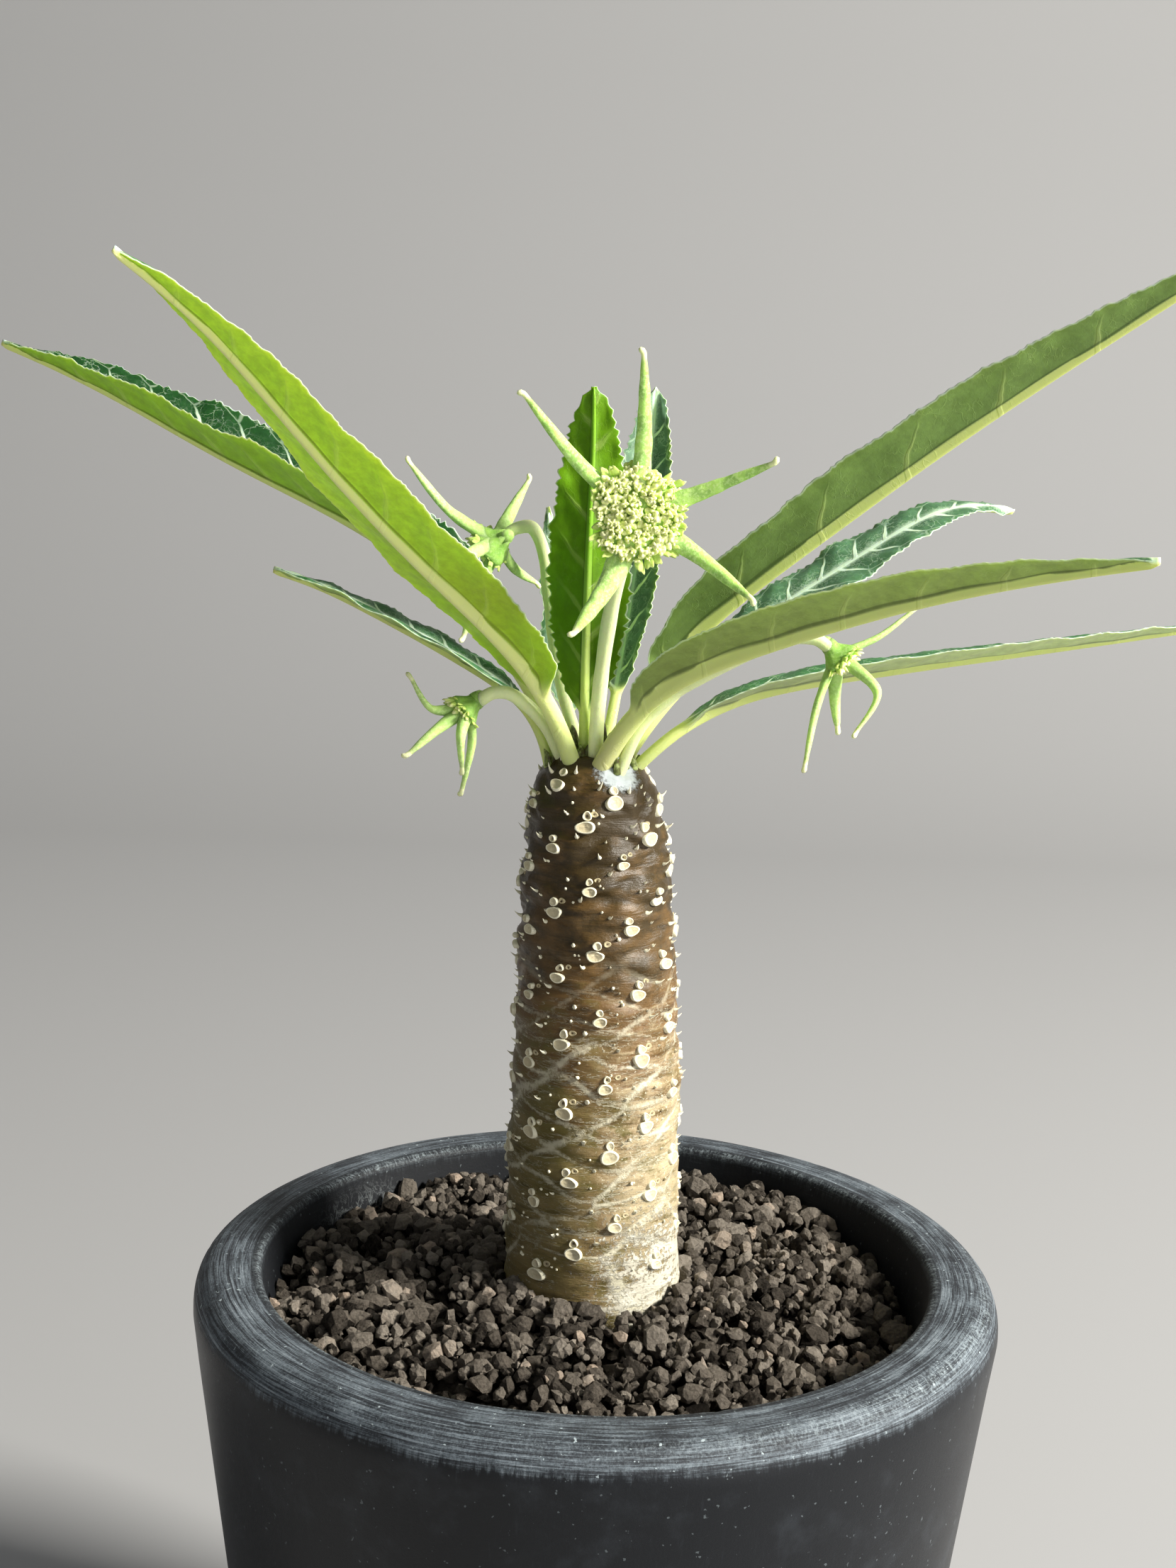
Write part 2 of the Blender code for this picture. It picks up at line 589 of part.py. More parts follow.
def make_trunk():
    """Trunk with its leaf scars, the smaller scars above them, and the crown's buds."""
    trunk = trunk_body("trunk", paint=material("trunk_bark", BARK))
    parts = []
    for i, (z, turn) in enumerate(scar_places()):
        parts.append(scar_on_trunk(f"scar_{i}", z, turn))
    for i, (x, y, height) in enumerate(BUDS):
        foot = crown_height(x, y)
        rings = []
        for rise, size in BUD_PROFILE:
            rings.append(circle((x, y, foot + rise * height), BUD_RADIUS * size, STALK_SIDES))
        parts.append(finish_object(f"bud_{i}", skin(rings)))
    join_all(trunk, parts)
    return trunk


def leaf_midrib(row, steps):
    """Points and frames along a leaf's middle: (point, side, upper normal) at each step."""
    azimuth = radians(row["azimuth"])
    x, y = row["base"]
    first = radians(row["rises"][0])
    heading = Vector((cos(azimuth), sin(azimuth), 0.0))
    start = heading * cos(first) + Vector((0, 0, sin(first)))
    point = Vector((x, y, crown_height(x, y))) - start * STALK_SINK
    travelled = -STALK_SINK
    track = []
    for target in steps:
        while travelled < target - 1e-9:
            move = min(TRACK_STEP, target - travelled)
            rise = radians(smooth_list(row["rises"], max(travelled, 0.0) / row["length"]))
            point = point + (heading * cos(rise) + Vector((0, 0, sin(rise)))) * move
            travelled += move
        rise = radians(smooth_list(row["rises"], max(travelled, 0.0) / row["length"]))
        tangent = heading * cos(rise) + Vector((0, 0, sin(rise)))
        side = Vector((-sin(azimuth), cos(azimuth), 0.0))
        part = max(target, 0.0) / row["length"]
        roll = radians(row["roll"][0] + (row["roll"][1] - row["roll"][0]) * part)
        spin = Matrix.Rotation(roll, 3, tangent)
        side = spin @ side
        track.append((point.copy(), side, tangent.cross(side)))
    return track


def blade_width(row, part):
    """Half the blade's width: round at its base, widest before the middle, pointed at its tip."""
    part = min(max(part, 0.0), 1.0)
    widest = BLADE_ROUND / (BLADE_ROUND + BLADE_POINT)
    peak = widest ** BLADE_ROUND * (1 - widest) ** BLADE_POINT
    return row["width"] * part ** BLADE_ROUND * (1 - part) ** BLADE_POINT / peak


def make_leaf(name, row, crown_cutter):
    """Stalk, keel and folded toothed blade as one lofted solid, cut clear of the crown."""
    length = row["length"]
    stalk = row["stalk"]
    blade = length - stalk
    stations = [-STALK_SINK, 0.0, 0.5 * stalk, stalk]
    stations += [stalk + blade * (i + 0.5) / (2 * row["teeth"]) for i in range(2 * row["teeth"])]
    stations.append(length)
    rings = []
    for i, (place, (middle, side, normal)) in enumerate(zip(stations, leaf_midrib(row, stations))):
        part = (place - stalk) / blade
        lost, easing = KEEL_THINS
        keel = row["radius"] * (1.0 - lost * (max(place, 0.0) / length) ** easing)
        wide = blade_width(row, part)
        if 0.02 < part < 0.97:
            wide += TOOTH_DEPTH * (1 if i % 2 else -1) * min(1.0, wide / row["width"] + 0.3)
        wide = max(wide, 0.9 * keel)
        if place == length:
            keel = TIP_SIZE
            wide = TIP_SIZE
        opened = min(max(part / BLADE_OPENS, 0.0), 1.0)
        fold = radians(row["fold"]) * opened
        sway = WAVE_HEIGHT * opened * sin(2 * pi * WAVES * max(part, 0.0)) * wide / row["width"]
        half = BLADE_HALF_THICKNESS + STALK_EDGE * keel * (1 - opened)
        crest = STALK_GROOVE * keel * (1 - opened) + BLADE_HALF_THICKNESS * opened
        edges = []
        for hand in (-1, 1):
            out = side * (hand * cos(fold)) + normal * sin(fold)
            up = normal * cos(fold) - side * (hand * sin(fold))
            edges.append((middle + out * wide + up * hand * sway, up))
        (left, left_up), (right, right_up) = edges
        corner_out, corner_down = KEEL_CORNER
        rings.append([left + left_up * half,
                      middle + normal * crest,
                      right + right_up * half,
                      right - right_up * half,
                      middle + side * corner_out * keel - normal * corner_down * keel,
                      middle - normal * (keel + 0.15 * opened),
                      middle - side * corner_out * keel - normal * corner_down * keel,
                      left - left_up * half])
    leaf = finish_object(name, skin(rings, flip_columns=(0, 3, 4)), material(name + "_green", LEAF_GREEN))
    cut(leaf, crown_cutter)
    return leaf


def floret_sites(row):
    """Sites of the florets: a rim and rings inside it."""
    sites = ring_sites(row["radius"], FLORET_PITCH)
    rim = len(sites)
    for i in range(1, row["rings"] + 1):
        radius = row["radius"] * (1 - i / (row["rings"] + 0.6))
        sites += ring_sites(radius, FLORET_PITCH)
    sites.append((0.0, 0.0))
    return sites, rim


def make_receptacle(name, row, to_world, paint):
    """Shallow lobed cup under the face of florets, narrowing to the neck."""
    draw = random.Random(SEED)
    sites, rim = floret_sites(row)
    bm = raised_cells(sites, [rim], FLORET_LIFT, FLORET_SHRINK, FLORET_TILT, draw)
    size = row["radius"]
    for vert in bm.verts:
        vert.co.z += FLORET_DOME * (1 - min(vert.co.xy.length / size, 1.0) ** 2)
    rim_loop = boundary_loops(bm)[0]
    rings = [((0, 0), max(share * size, 1.15 * row["stalk_radius"]), drop * FLOWER_DEPTH)
             for share, drop in CUP_PROFILE]
    close_down(bm, rim_loop, rings)
    turns = [to_world.inverted() @ Vector(tip) for tip, _ in row["arms"]]
    for vert in bm.verts:
        here = vert.co.xy.length
        if here > 0.3 * size:
            pull = max(vert.co.xy.normalized().dot(turn.xy.normalized()) for turn in turns)
            vert.co.xy *= LOBE_LOW + LOBE_RISE * max(pull, 0.0) ** LOBE_SHARPNESS
    bmesh.ops.transform(bm, matrix=to_world, verts=bm.verts)
    return finish_object(name, bm, paint)


def make_flower(name, row, crown_cutter):
    """Stalk, receptacle with florets, and pointed arms, in one solid."""
    facing = Vector(row["facing"]).normalized()
    to_world = Matrix.Translation(row["centre"]) @ facing.to_track_quat("Z", "Y").to_matrix().to_4x4()
    head = make_receptacle(name, row, to_world, material(name + "_green", FLOWER_GREEN))
    centre = Vector(row["centre"])
    neck = centre - facing * (0.7 * FLOWER_DEPTH)
    points = [Vector(p) for p in row["stalk"]]
    below = points[0] - (points[1] - points[0]).normalized() * STALK_SINK
    steps = 2 * len(points)
    path = route([below, *points, centre - facing * FLOWER_DEPTH, neck], steps)
    radii = [row["stalk_radius"]] * len(path)
    parts = [finish_object(name + "_stalk", skin(tube(path, radii, STALK_SIDES)))]
    scale = 1.0 + 0.28 * (row["radius"] / LARGEST_HEAD - 1.0)
    for i, (bend, tip) in enumerate(row["arms"]):
        bend = Vector(bend)
        tip = Vector(tip)
        root = centre - facing * ARM_ROOT + (bend - centre) * 0.25
        path = route([root, bend, tip], ARM_STEPS)
        path.append(tip + (tip - bend).normalized() * ARM_KNOB)
        radii = [scale * (ARM_RADIUS + (ARM_TIP_RADIUS - ARM_RADIUS) * (k / ARM_STEPS) ** 0.9)
                 for k in range(ARM_STEPS + 1)]
        radii.append(1.25 * ARM_TIP_RADIUS)
        parts.append(finish_object(f"{name}_arm_{i}", skin(tube(path, radii, ARM_SIDES))))
    join_all(head, parts)
    cut(head, crown_cutter)
    return head


def main():
    """Build every piece."""
    make_pot()
    make_substrate()
    crown_cutter = trunk_body("crown_cutter", grow=GAP)
    make_trunk()
    for name, row in LEAVES.items():
        make_leaf(name, row, crown_cutter)
    for name, row in FLOWERS.items():
        make_flower(name, row, crown_cutter)
    bpy.data.objects.remove(crown_cutter, do_unlink=True)
    for made in bpy.context.scene.collection.objects:
        made.data.shade_smooth()
        made.data.set_sharp_from_angle(angle=SHARP_ANGLE)


main()
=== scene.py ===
"""Potted dorstenia: the looks of the pot, its grit, the scarred trunk, the leaves and the flower heads.

Sizes are millimetres unless a name says otherwise."""

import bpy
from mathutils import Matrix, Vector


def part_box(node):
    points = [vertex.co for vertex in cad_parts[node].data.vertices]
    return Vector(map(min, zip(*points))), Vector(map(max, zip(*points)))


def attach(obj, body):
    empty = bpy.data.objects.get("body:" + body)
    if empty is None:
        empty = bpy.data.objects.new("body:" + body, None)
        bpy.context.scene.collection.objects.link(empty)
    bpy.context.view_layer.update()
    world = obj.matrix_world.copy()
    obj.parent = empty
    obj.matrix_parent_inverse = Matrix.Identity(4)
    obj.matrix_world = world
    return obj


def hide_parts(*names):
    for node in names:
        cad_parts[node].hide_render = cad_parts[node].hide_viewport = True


bl_info = {
    "name": "Potted Dorstenia",
    "version": (1, 0, 0),
    "blender": (4, 5, 0),
    "location": "View3D > Sidebar > Plant",
    "description": "Builds a potted dorstenia with its grit, trunk, leaves and flower heads",
    "category": "Add Mesh",
}

from math import cos, hypot, pi, radians, sin

import bmesh
import bpy
import numpy as np
from bpy.props import FloatProperty, FloatVectorProperty, IntProperty, PointerProperty
from mathutils import Matrix, Vector

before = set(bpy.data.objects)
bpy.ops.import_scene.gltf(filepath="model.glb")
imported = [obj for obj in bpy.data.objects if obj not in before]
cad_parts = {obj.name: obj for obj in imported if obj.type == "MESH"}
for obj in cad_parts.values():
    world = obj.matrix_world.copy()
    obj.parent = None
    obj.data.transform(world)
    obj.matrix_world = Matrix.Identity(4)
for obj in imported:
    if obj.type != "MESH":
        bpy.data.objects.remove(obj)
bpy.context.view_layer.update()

MM = 0.001
BODY = "root"

# Read from the frame
POT_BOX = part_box("pot")
POT_RADIUS = POT_BOX[1].x / MM
POT_HEIGHT = POT_BOX[1].z / MM
TRUNK_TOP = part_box("trunk")[1].z / MM

# Pot
POT_FOOT_RADIUS = 35.7
POT_FOOT_CHAMFER = 1.2
POT_EDGE_ROUND = 4.5
POT_MOUTH_RADIUS = 37.4
POT_MOUTH_ROUND = 1.0
POT_TAPER = 0.124
POT_FLOOR = 6.0
FLOOR_CORNER = (1.6, 2.0)
DRAIN_COUNT = 6
DRAIN_RADIUS = 3.0
DRAIN_CIRCLE = 21.0
CHANNEL_WIDTH = 4.0
CHANNEL_DEPTH = 1.2
RIM_SQUARE = 0.78     # 1 is a round edge, less is squarer

# Substrate
SOIL_AT_TRUNK = 78.0
SOIL_INNER = 10.2
SOIL_MOUND = 1.6
SOIL_AT_WALL = [(-150, 74.6), (-100, 73.0), (-55, 71.0), (-15, 70.0), (15, 73.0),
                (50, 76.6), (100, 76.4), (150, 75.2)]     # azimuth, height

# Trunk: height, radius; its axis leans a little to -X
TRUNK_PROFILE = [(54.0, 3.0), (55.5, 5.6), (60.0, 8.2), (68.0, 9.5), (78.0, 9.8), (92.0, 9.5),
                 (111.0, 8.95), (120.0, 8.5), (127.0, 7.9), (132.0, 7.3), (135.3, 6.5),
                 (137.0, 5.2), (138.0, 3.1)]
TRUNK_SUMMIT = 138.4
TRUNK_LEAN = [(54.0, -0.4), (80.0, -0.5), (111.0, -1.05), (127.0, -1.5), (138.4, -2.1)]

# Leaf scars in spiral rows
SCAR_TURN = radians(-138.75)
SCAR_ANCHOR = (125.0, radians(-94.0))
SCAR_LOW = 81.5
SCAR_HIGH = 133.6
SCAR_TOP = 136.0
SCAR_STEP_LOW = 0.64
SCAR_STEP_HIGH = 0.50
TRUNK_GIRTH = 8.8
CHALK_PLACE = (1.3, -5.3, 137.6)

# Leaves, as the solids have them, with the look of each: how far its veins stand apart, how white
# they are, and the colours of its upper side and its underside
LEAVES = {
    "leaf_a": dict(base=(-5.0, -3.4), inward=0.9, azimuth=-150, rises=(68, 44, 45, 46, 33), wave=0.5, teeth=0.7, length=71.9, stalk=7.5,
                   radius=1.05, width=7.4, fold=7, roll=(15, 9), vein_pitch=7.5, white=0.35,
                   upper=(0.035, 0.13, 0.02), under=(0.54, 0.78, 0.05), rib=(0.86, 0.92, 0.36)),
    "leaf_b": dict(base=(-5.6, 4.0), azimuth=170, rises=(66, 41, 24, 26, 19), length=80.2, stalk=13.0,
                   radius=0.90, width=6.4, fold=44, roll=(-20, 2), vein_pitch=6.0, white=0.9,
                   upper=(0.006, 0.040, 0.007), under=(0.30, 0.48, 0.03)),
    "leaf_c": dict(base=(0.5, -1.6), azimuth=-20, rises=(70, 42, 38, 35, 34), wave=0.5, teeth=0.45, length=85.0, stalk=7.5,
                   radius=0.95, width=5.6, fold=56, roll=(12, -12), vein_pitch=11.0, white=0.5,
                   upper=(0.020, 0.09, 0.025), under=(0.20, 0.31, 0.08)),
    "leaf_d": dict(base=(-1.0, -4.9), inward=1.2, azimuth=-40, rises=(59, 28, 20.5, 14.5, 11), wave=0.2, teeth=0.45, length=69.9, stalk=7.0,
                   radius=1.15, width=5.4, fold=20, roll=(-10, -17), vein_pitch=9.0, white=0.4,
                   upper=(0.020, 0.09, 0.025), under=(0.33, 0.43, 0.12),
                   foot=(0.60, 0.60, 0.27)),
    "leaf_e": dict(base=(1.4, 1.2), azimuth=25, rises=(56, 36, 29, 25, -12), length=56.9, stalk=12.0,
                   radius=0.85, width=3.8, fold=6, roll=(12, 20), vein_pitch=4.6, white=1.0,
                   upper=(0.055, 0.130, 0.060), under=(0.28, 0.42, 0.12)),
    "leaf_f": dict(base=(2.7, -0.6), azimuth=5, rises=(46, 14, 9, 9, 9), wave=0.15, teeth=0.6, length=69.0, stalk=5.5,
                   radius=0.80, width=4.5, fold=16, roll=(-3, -12), vein_pitch=6.0, white=1.0,
                   upper=(0.030, 0.115, 0.035), under=(0.50, 0.60, 0.28)),
    "leaf_g": dict(base=(-6.9, -0.1), azimuth=168, rises=(76, 33, 25, 22, 12), wave=0.4, length=38.6, stalk=6.5,
                   radius=0.75, width=2.9, fold=14, roll=(-2, 6), vein_pitch=4.2, white=1.0,
                   upper=(0.030, 0.115, 0.035), under=(0.34, 0.48, 0.12)),
    "leaf_h": dict(base=(-3.1, -1.2), azimuth=-100, rises=(78, 87, 91, 94, 79), point=0.46, slim=0.62, teeth=1.7, flatter=0.85, length=39.1, stalk=4.5,
                   radius=0.62, width=5.2, fold=34, roll=(5, 8), vein_pitch=5.0, white=0.6,
                   upper=(0.04, 0.16, 0.02), under=(0.13, 0.29, 0.001), rib=(0.20, 0.41, 0.02), foot=(0.52, 0.64, 0.19)),
    "leaf_i": dict(base=(-1.0, 1.9), azimuth=75, rises=(53, 61, 67, 70, 84), point=0.60, teeth=1.3, length=42.6, stalk=6.5,
                   radius=0.62, width=4.0, fold=38, roll=(-10, 10), vein_pitch=4.6, white=1.0,
                   upper=(0.080, 0.160, 0.085), under=(0.28, 0.42, 0.12)),
    "leaf_j": dict(base=(-4.1, 3.4), azimuth=118, rises=(60, 66, 78, 75, 71), length=27.5, stalk=4.0,
                   radius=0.50, width=2.7, fold=25, roll=(0, 0), vein_pitch=3.6, white=0.5,
                   upper=(0.03, 0.085, 0.03), under=(0.14, 0.26, 0.06)),
}
BLADE_ROUND = 0.50
BLADE_POINT = 0.85
BLADE_OPENS = 0.06
KEEL_THINS = (0.62, 1.3)
WAVES = 4.5
WAVE_HEIGHT = 0.34
STALK_SINK = 3.0
BLADE_COLUMNS = 33

# Flower heads, as the solids have them; florets: how many stand on the face
FLOWERS = {
    "flower_head_1": dict(
        stalk=[(-5.5, -1.1, 137.4), (-7.1, -1.7, 140.6), (-9.0, -2.3, 143.0), (-11.2, -2.9, 144.6),
               (-13.0, -3.1, 144.7), (-14.4, -3.2, 143.9)],
        stalk_radius=0.72, centre=(-16.3, -3.7, 142.6), facing=(-0.74, -0.34, -0.58), radius=2.2, cup=0.78,
        florets=22,
        arms=[((-19.4, -4.6, 143.0), (-21.6, -4.8, 146.2), 0.75),
              ((-18.8, -5.4, 140.9), (-21.6, -6.4, 138.4), 0.80),
              ((-16.2, -5.6, 140.4), (-16.0, -5.4, 136.8), 0.85),
              ((-15.2, -2.8, 139.2), (-16.2, -2.2, 133.8), 0.75)]),
    "flower_head_2": dict(
        stalk=[(-3.5, 1.2, 138.0), (-5.4, 2.4, 143.0), (-6.8, 3.2, 149.0), (-7.6, 3.2, 154.6),
               (-8.2, 2.6, 159.0), (-9.4, 1.6, 161.8), (-11.0, 1.0, 161.9), (-12.2, 0.8, 161.2)],
        stalk_radius=0.68, centre=(-14.0, 0.8, 159.8), facing=(-0.76, 0.38, -0.53), radius=3.0, cup=0.75,
        florets=34,
        arms=[((-18.4, 0.2, 163.6), (-22.6, 0.4, 168.4), 0.90),
              ((-12.2, 3.4, 162.8), (-10.2, 4.8, 166.6), 0.95),
              ((-15.6, -2.6, 159.4), (-17.2, -4.6, 157.8), 0.90),
              ((-15.0, -0.6, 155.4), (-16.4, -1.2, 150.4), 0.95),
              ((-11.4, 4.2, 157.2), (-9.2, 6.0, 155.6), 0.90)]),
    "flower_head_3": dict(
        stalk=[(-2.0, -2.6, 138.1), (-1.8, -4.0, 144.2), (-1.2, -6.6, 151.3), (-0.4, -9.6, 156.9),
               (0.6, -12.4, 161.2), (1.4, -14.4, 164.2)],
        stalk_radius=0.80, centre=(1.5, -17.2, 165.2), facing=(0.05, -0.98, 0.16), radius=4.3, cup=1.0,
        florets=185,
        arms=[((1.9, -16.9, 173.0), (1.6, -18.2, 180.6), 0.95),
              ((8.2, -17.4, 167.8), (14.4, -19.6, 170.7), 0.90),
              ((7.6, -17.8, 161.4), (12.8, -21.6, 157.8), 0.95),
              ((-0.9, -18.0, 158.8), (-4.2, -21.0, 153.9), 1.30),
              ((-4.4, -16.8, 170.0), (-9.8, -17.6, 176.4), 0.85)]),
    "flower_head_4": dict(
        stalk=[(1.0, -3.9, 137.5), (2.6, -4.6, 141.6), (6.0, -5.8, 145.6), (9.8, -7.4, 148.3),
               (13.6, -8.8, 150.6), (17.2, -9.8, 152.4), (20.0, -10.2, 152.6), (21.4, -10.2, 151.9)],
        stalk_radius=0.68, centre=(23.2, -10.2, 150.3), facing=(0.70, -0.18, -0.69), radius=2.4, cup=0.78,
        florets=22,
        arms=[((26.8, -8.8, 152.8), (30.4, -7.8, 155.6), 0.65),
              ((20.6, -11.6, 145.8), (19.6, -12.6, 139.8), 0.75),
              ((26.6, -12.2, 147.6), (24.6, -13.2, 143.6), 0.70),
              ((22.6, -9.4, 146.4), (23.0, -9.8, 143.4), 1.0)]),
}
FLOWER_DEPTH = 2.6
ARM_RADIUS = 0.95
ARM_TIP_RADIUS = 0.28
ARM_ROOT = 0.95
LARGEST_HEAD = 4.4
GOLDEN_TURN = 2.399963
SMALL_HEAD = 3.5
DEEP_GREEN = 0.65

# Camera
CAMERA_PLACE = (0.0, -241.0, 183.2)
CAMERA_YAW = radians(-0.636)
CAMERA_PITCH = radians(-11.41)
CAMERA_ROLL = radians(1.85)
CAMERA_LENS = 52.08
CAMERA_SENSOR = 36.0


def eased(values, t):
    """Values at t in 0..1 along evenly spaced rows, eased by a Catmull-Rom curve."""
    values = np.asarray(values, float)
    last = len(values) - 1
    place = np.clip(t, 0.0, 1.0) * last
    i = np.minimum(place.astype(int), last - 1)
    f = place - i
    if values.ndim > 1:
        f = f[..., None]
    a = values[np.maximum(i - 1, 0)]
    b = values[i]
    c = values[i + 1]
    d = values[np.minimum(i + 2, last)]
    return 0.5 * (2 * b + (c - a) * f + (2 * a - 5 * b + 4 * c - d) * f ** 2 + (3 * b - 3 * c + d - a) * f ** 3)


def readings(rows, x):
    """Readings at x of listed (x, y) rows, straight between them."""
    return np.interp(x, [row[0] for row in rows], [row[1] for row in rows])


def fade(x, low, high):
    """0 up to low, 1 from high on, smooth between them; the other way round if high is below low."""
    t = np.clip((x - low) / (high - low), 0.0, 1.0)
    return t * t * (3 - 2 * t)


def ripple(points, size, seed, waves=28):
    """Smooth seeded noise, about -1 to 1, with lumps about half as wide as size."""
    points = np.asarray(points, float)
    draw = np.random.default_rng(seed)
    ways = draw.normal(size=(waves, points.shape[-1]))
    ways /= np.linalg.norm(ways, axis=1, keepdims=True)
    rates = 2 * pi / (size * draw.uniform(0.7, 2.0, waves))
    shifts = draw.uniform(0, 2 * pi, waves)
    return np.sin(points @ (ways * rates[:, None]).T + shifts).sum(-1) / np.sqrt(waves)


def loft_faces(rows, columns, closed=True):
    """Quads over a grid of points, row by row, whose columns close into rings if asked."""
    i, j = np.meshgrid(np.arange(rows - 1), np.arange(columns if closed else columns - 1), indexing="ij")
    k = (j + 1) % columns
    low = i * columns + j
    low_next = i * columns + k
    return np.stack([low, low_next, low_next + columns, low + columns], axis=-1).reshape(-1, 4)


def unit(vectors):
    """Vectors scaled to length 1."""
    return vectors / np.linalg.norm(vectors, axis=-1, keepdims=True)


class Shape:
    """Points, faces and named fields of one piece while it is put together."""

    def __init__(self):
        self.points = []
        self.faces = []
        self.fields = {}
        self.count = 0

    def add(self, points, faces, **fields):
        """Take in more points, their faces, and each field's values at them."""
        points = np.asarray(points, float).reshape(-1, 3)
        self.points.append(points)
        self.faces.extend((np.asarray(faces) + self.count).tolist())
        for name, values in fields.items():
            values = np.asarray(values, float)
            if values.ndim == 0:
                values = np.full(len(points), float(values))
            self.fields.setdefault(name, []).append(values)
        self.count += len(points)

    def add_rings(self, rings, cap_start=True, cap_end=True, **fields):
        """Take in rings of points, joined in turn, with a fan on each end that is capped."""
        rows, columns = rings.shape[:2]
        first = self.count
        self.add(rings, loft_faces(rows, columns), **fields)
        for capped, ring, way in ((cap_start, 0, -1), (cap_end, rows - 1, 1)):
            if not capped:
                continue
            middle = rings[ring].mean(axis=0)
            own = {}
            for name in fields:
                values = self.fields[name][-1 if ring == 0 or not cap_start else -2]
                values = values.reshape((rows, columns) + values.shape[1:])
                own[name] = values[ring].mean(axis=0)[None]
            self.points.append(middle[None])
            for name, value in own.items():
                self.fields[name].append(value)
            start = first + ring * columns
            for j in range(columns):
                corners = [start + j, start + (j + 1) % columns, self.count]
                self.faces.append(corners[::way])
            self.count += 1

    def piece(self, name, finish, node=None, smooth=True):
        """The finished object in metres, riding on the part's body."""
        mesh = bpy.data.meshes.new(name)
        points = np.concatenate(self.points) * MM
        mesh.from_pydata(points.tolist(), [], self.faces)
        for key, values in self.fields.items():
            values = np.concatenate(values)
            kind = "FLOAT" if values.ndim == 1 else "FLOAT_VECTOR"
            store = mesh.attributes.new(key, kind, "POINT")
            store.data.foreach_set("value" if values.ndim == 1 else "vector", values.astype(np.float32).ravel())
        mesh.materials.append(finish)
        if smooth:
            mesh.shade_smooth()
        made = bpy.data.objects.new(name, mesh)
        bpy.context.scene.collection.objects.link(made)
        place_on_body(made, node)
        return made


def place_on_body(made, node):
    """Let a piece ride on the part's body and stand in for a node, whose part is hidden."""
    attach(made, BODY)
    if node:
        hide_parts(node)


class Finish:
    """A material while its nodes are added and joined."""

    def __init__(self, name, roughness=0.5, specular=0.5):
        self.material = bpy.data.materials.new(name)
        self.material.use_nodes = True
        self.tree = self.material.node_tree
        self.shader = self.tree.nodes["Principled BSDF"]
        self.set("Roughness", roughness)
        self.set("Specular IOR Level", specular)

    def feed(self, socket, value):
        """Join a socket to a signal, or give it a plain value."""
        if isinstance(value, Signal):
            self.tree.links.new(value.socket, socket)
        elif socket.type == "RGBA":
            socket.default_value = (*value[:3], 1.0)
        else:
            socket.default_value = value

    def set(self, name, value):
        """Feed one of the shader's sockets."""
        self.feed(self.shader.inputs[name], value)

    def add(self, kind, values=(), output=0, **settings):
        """A new node of a kind with settings, its inputs fed by (name or number, value): its signal."""
        node = self.tree.nodes.new("ShaderNode" + kind)
        for key, value in settings.items():
            setattr(node, key, value)
        for key, value in values:
            self.feed(node.inputs[key], value)
        return Signal(self, node.outputs[output])

    def field(self, name, part=None):
        """A field of the mesh: its value, or one part of a vector."""
        if part is None:
            return self.add("Attribute", output="Fac", attribute_name=name)
        return self.add("SeparateXYZ", [(0, self.scaled(name))], part)

    def scaled(self, name, scale=(1.0, 1.0, 1.0)):
        """A vector field of the mesh, scaled."""
        vector = self.add("Attribute", output="Vector", attribute_name=name)
        return self.add("VectorMath", [(0, vector), (1, scale)], operation="MULTIPLY")

    def place(self):
        """The place on the object in millimetres."""
        vector = self.add("TexCoord", output="Object")
        return self.add("VectorMath", [(0, vector), ("Scale", 1 / MM)], operation="SCALE")

    def maths(self, operation, a, b=0.0):
        """One arithmetic step."""
        return self.add("Math", [(0, a), (1, b)], operation=operation)

    def most(self, first, *others):
        """The largest of some signals."""
        for other in others:
            first = self.maths("MAXIMUM", first, other)
        return first

    def noise(self, vector, scale, detail=4.0, roughness=0.6, distortion=0.0):
        """Noise, 0 to 1."""
        return self.add("TexNoise", [("Vector", vector), ("Scale", scale), ("Detail", detail),
                                     ("Roughness", roughness), ("Distortion", distortion)], "Fac")

    def cells(self, vector, scale, feature="DISTANCE_TO_EDGE"):
        """Distance to the edges or the middles of random cells."""
        return self.add("TexVoronoi", [("Vector", vector), ("Scale", scale)], "Distance", feature=feature)

    def mix(self, amount, a, b):
        """Two colours mixed by an amount."""
        return self.add("Mix", [(0, amount), (6, a), (7, b)], 2, data_type="RGBA")

    def ramp(self, value, stops):
        """A colour from (place, colour) stops."""
        colour = self.add("ValToRGB", [(0, value)])
        ends = colour.socket.node.color_ramp.elements
        while len(ends) < len(stops):
            ends.new(0.5)
        for end, (place, stop) in zip(ends, stops):
            end.position = place
            end.color = (*stop[:3], 1.0)
        return colour

    def bump(self, height, distance, strength=1.0):
        """Raise the surface by a height times a distance in millimetres."""
        values = [("Height", height), ("Distance", distance * MM), ("Strength", strength)]
        if self.shader.inputs["Normal"].is_linked:
            values.append(("Normal", Signal(self, self.shader.inputs["Normal"].links[0].from_socket)))
        self.set("Normal", self.add("Bump", values))

    def glow_through(self, weight, radius, scale):
        """Light that spreads under the surface, by colour, over a distance in millimetres."""
        self.set("Subsurface Weight", weight)
        self.set("Subsurface Radius", radius)
        self.set("Subsurface Scale", scale * MM)


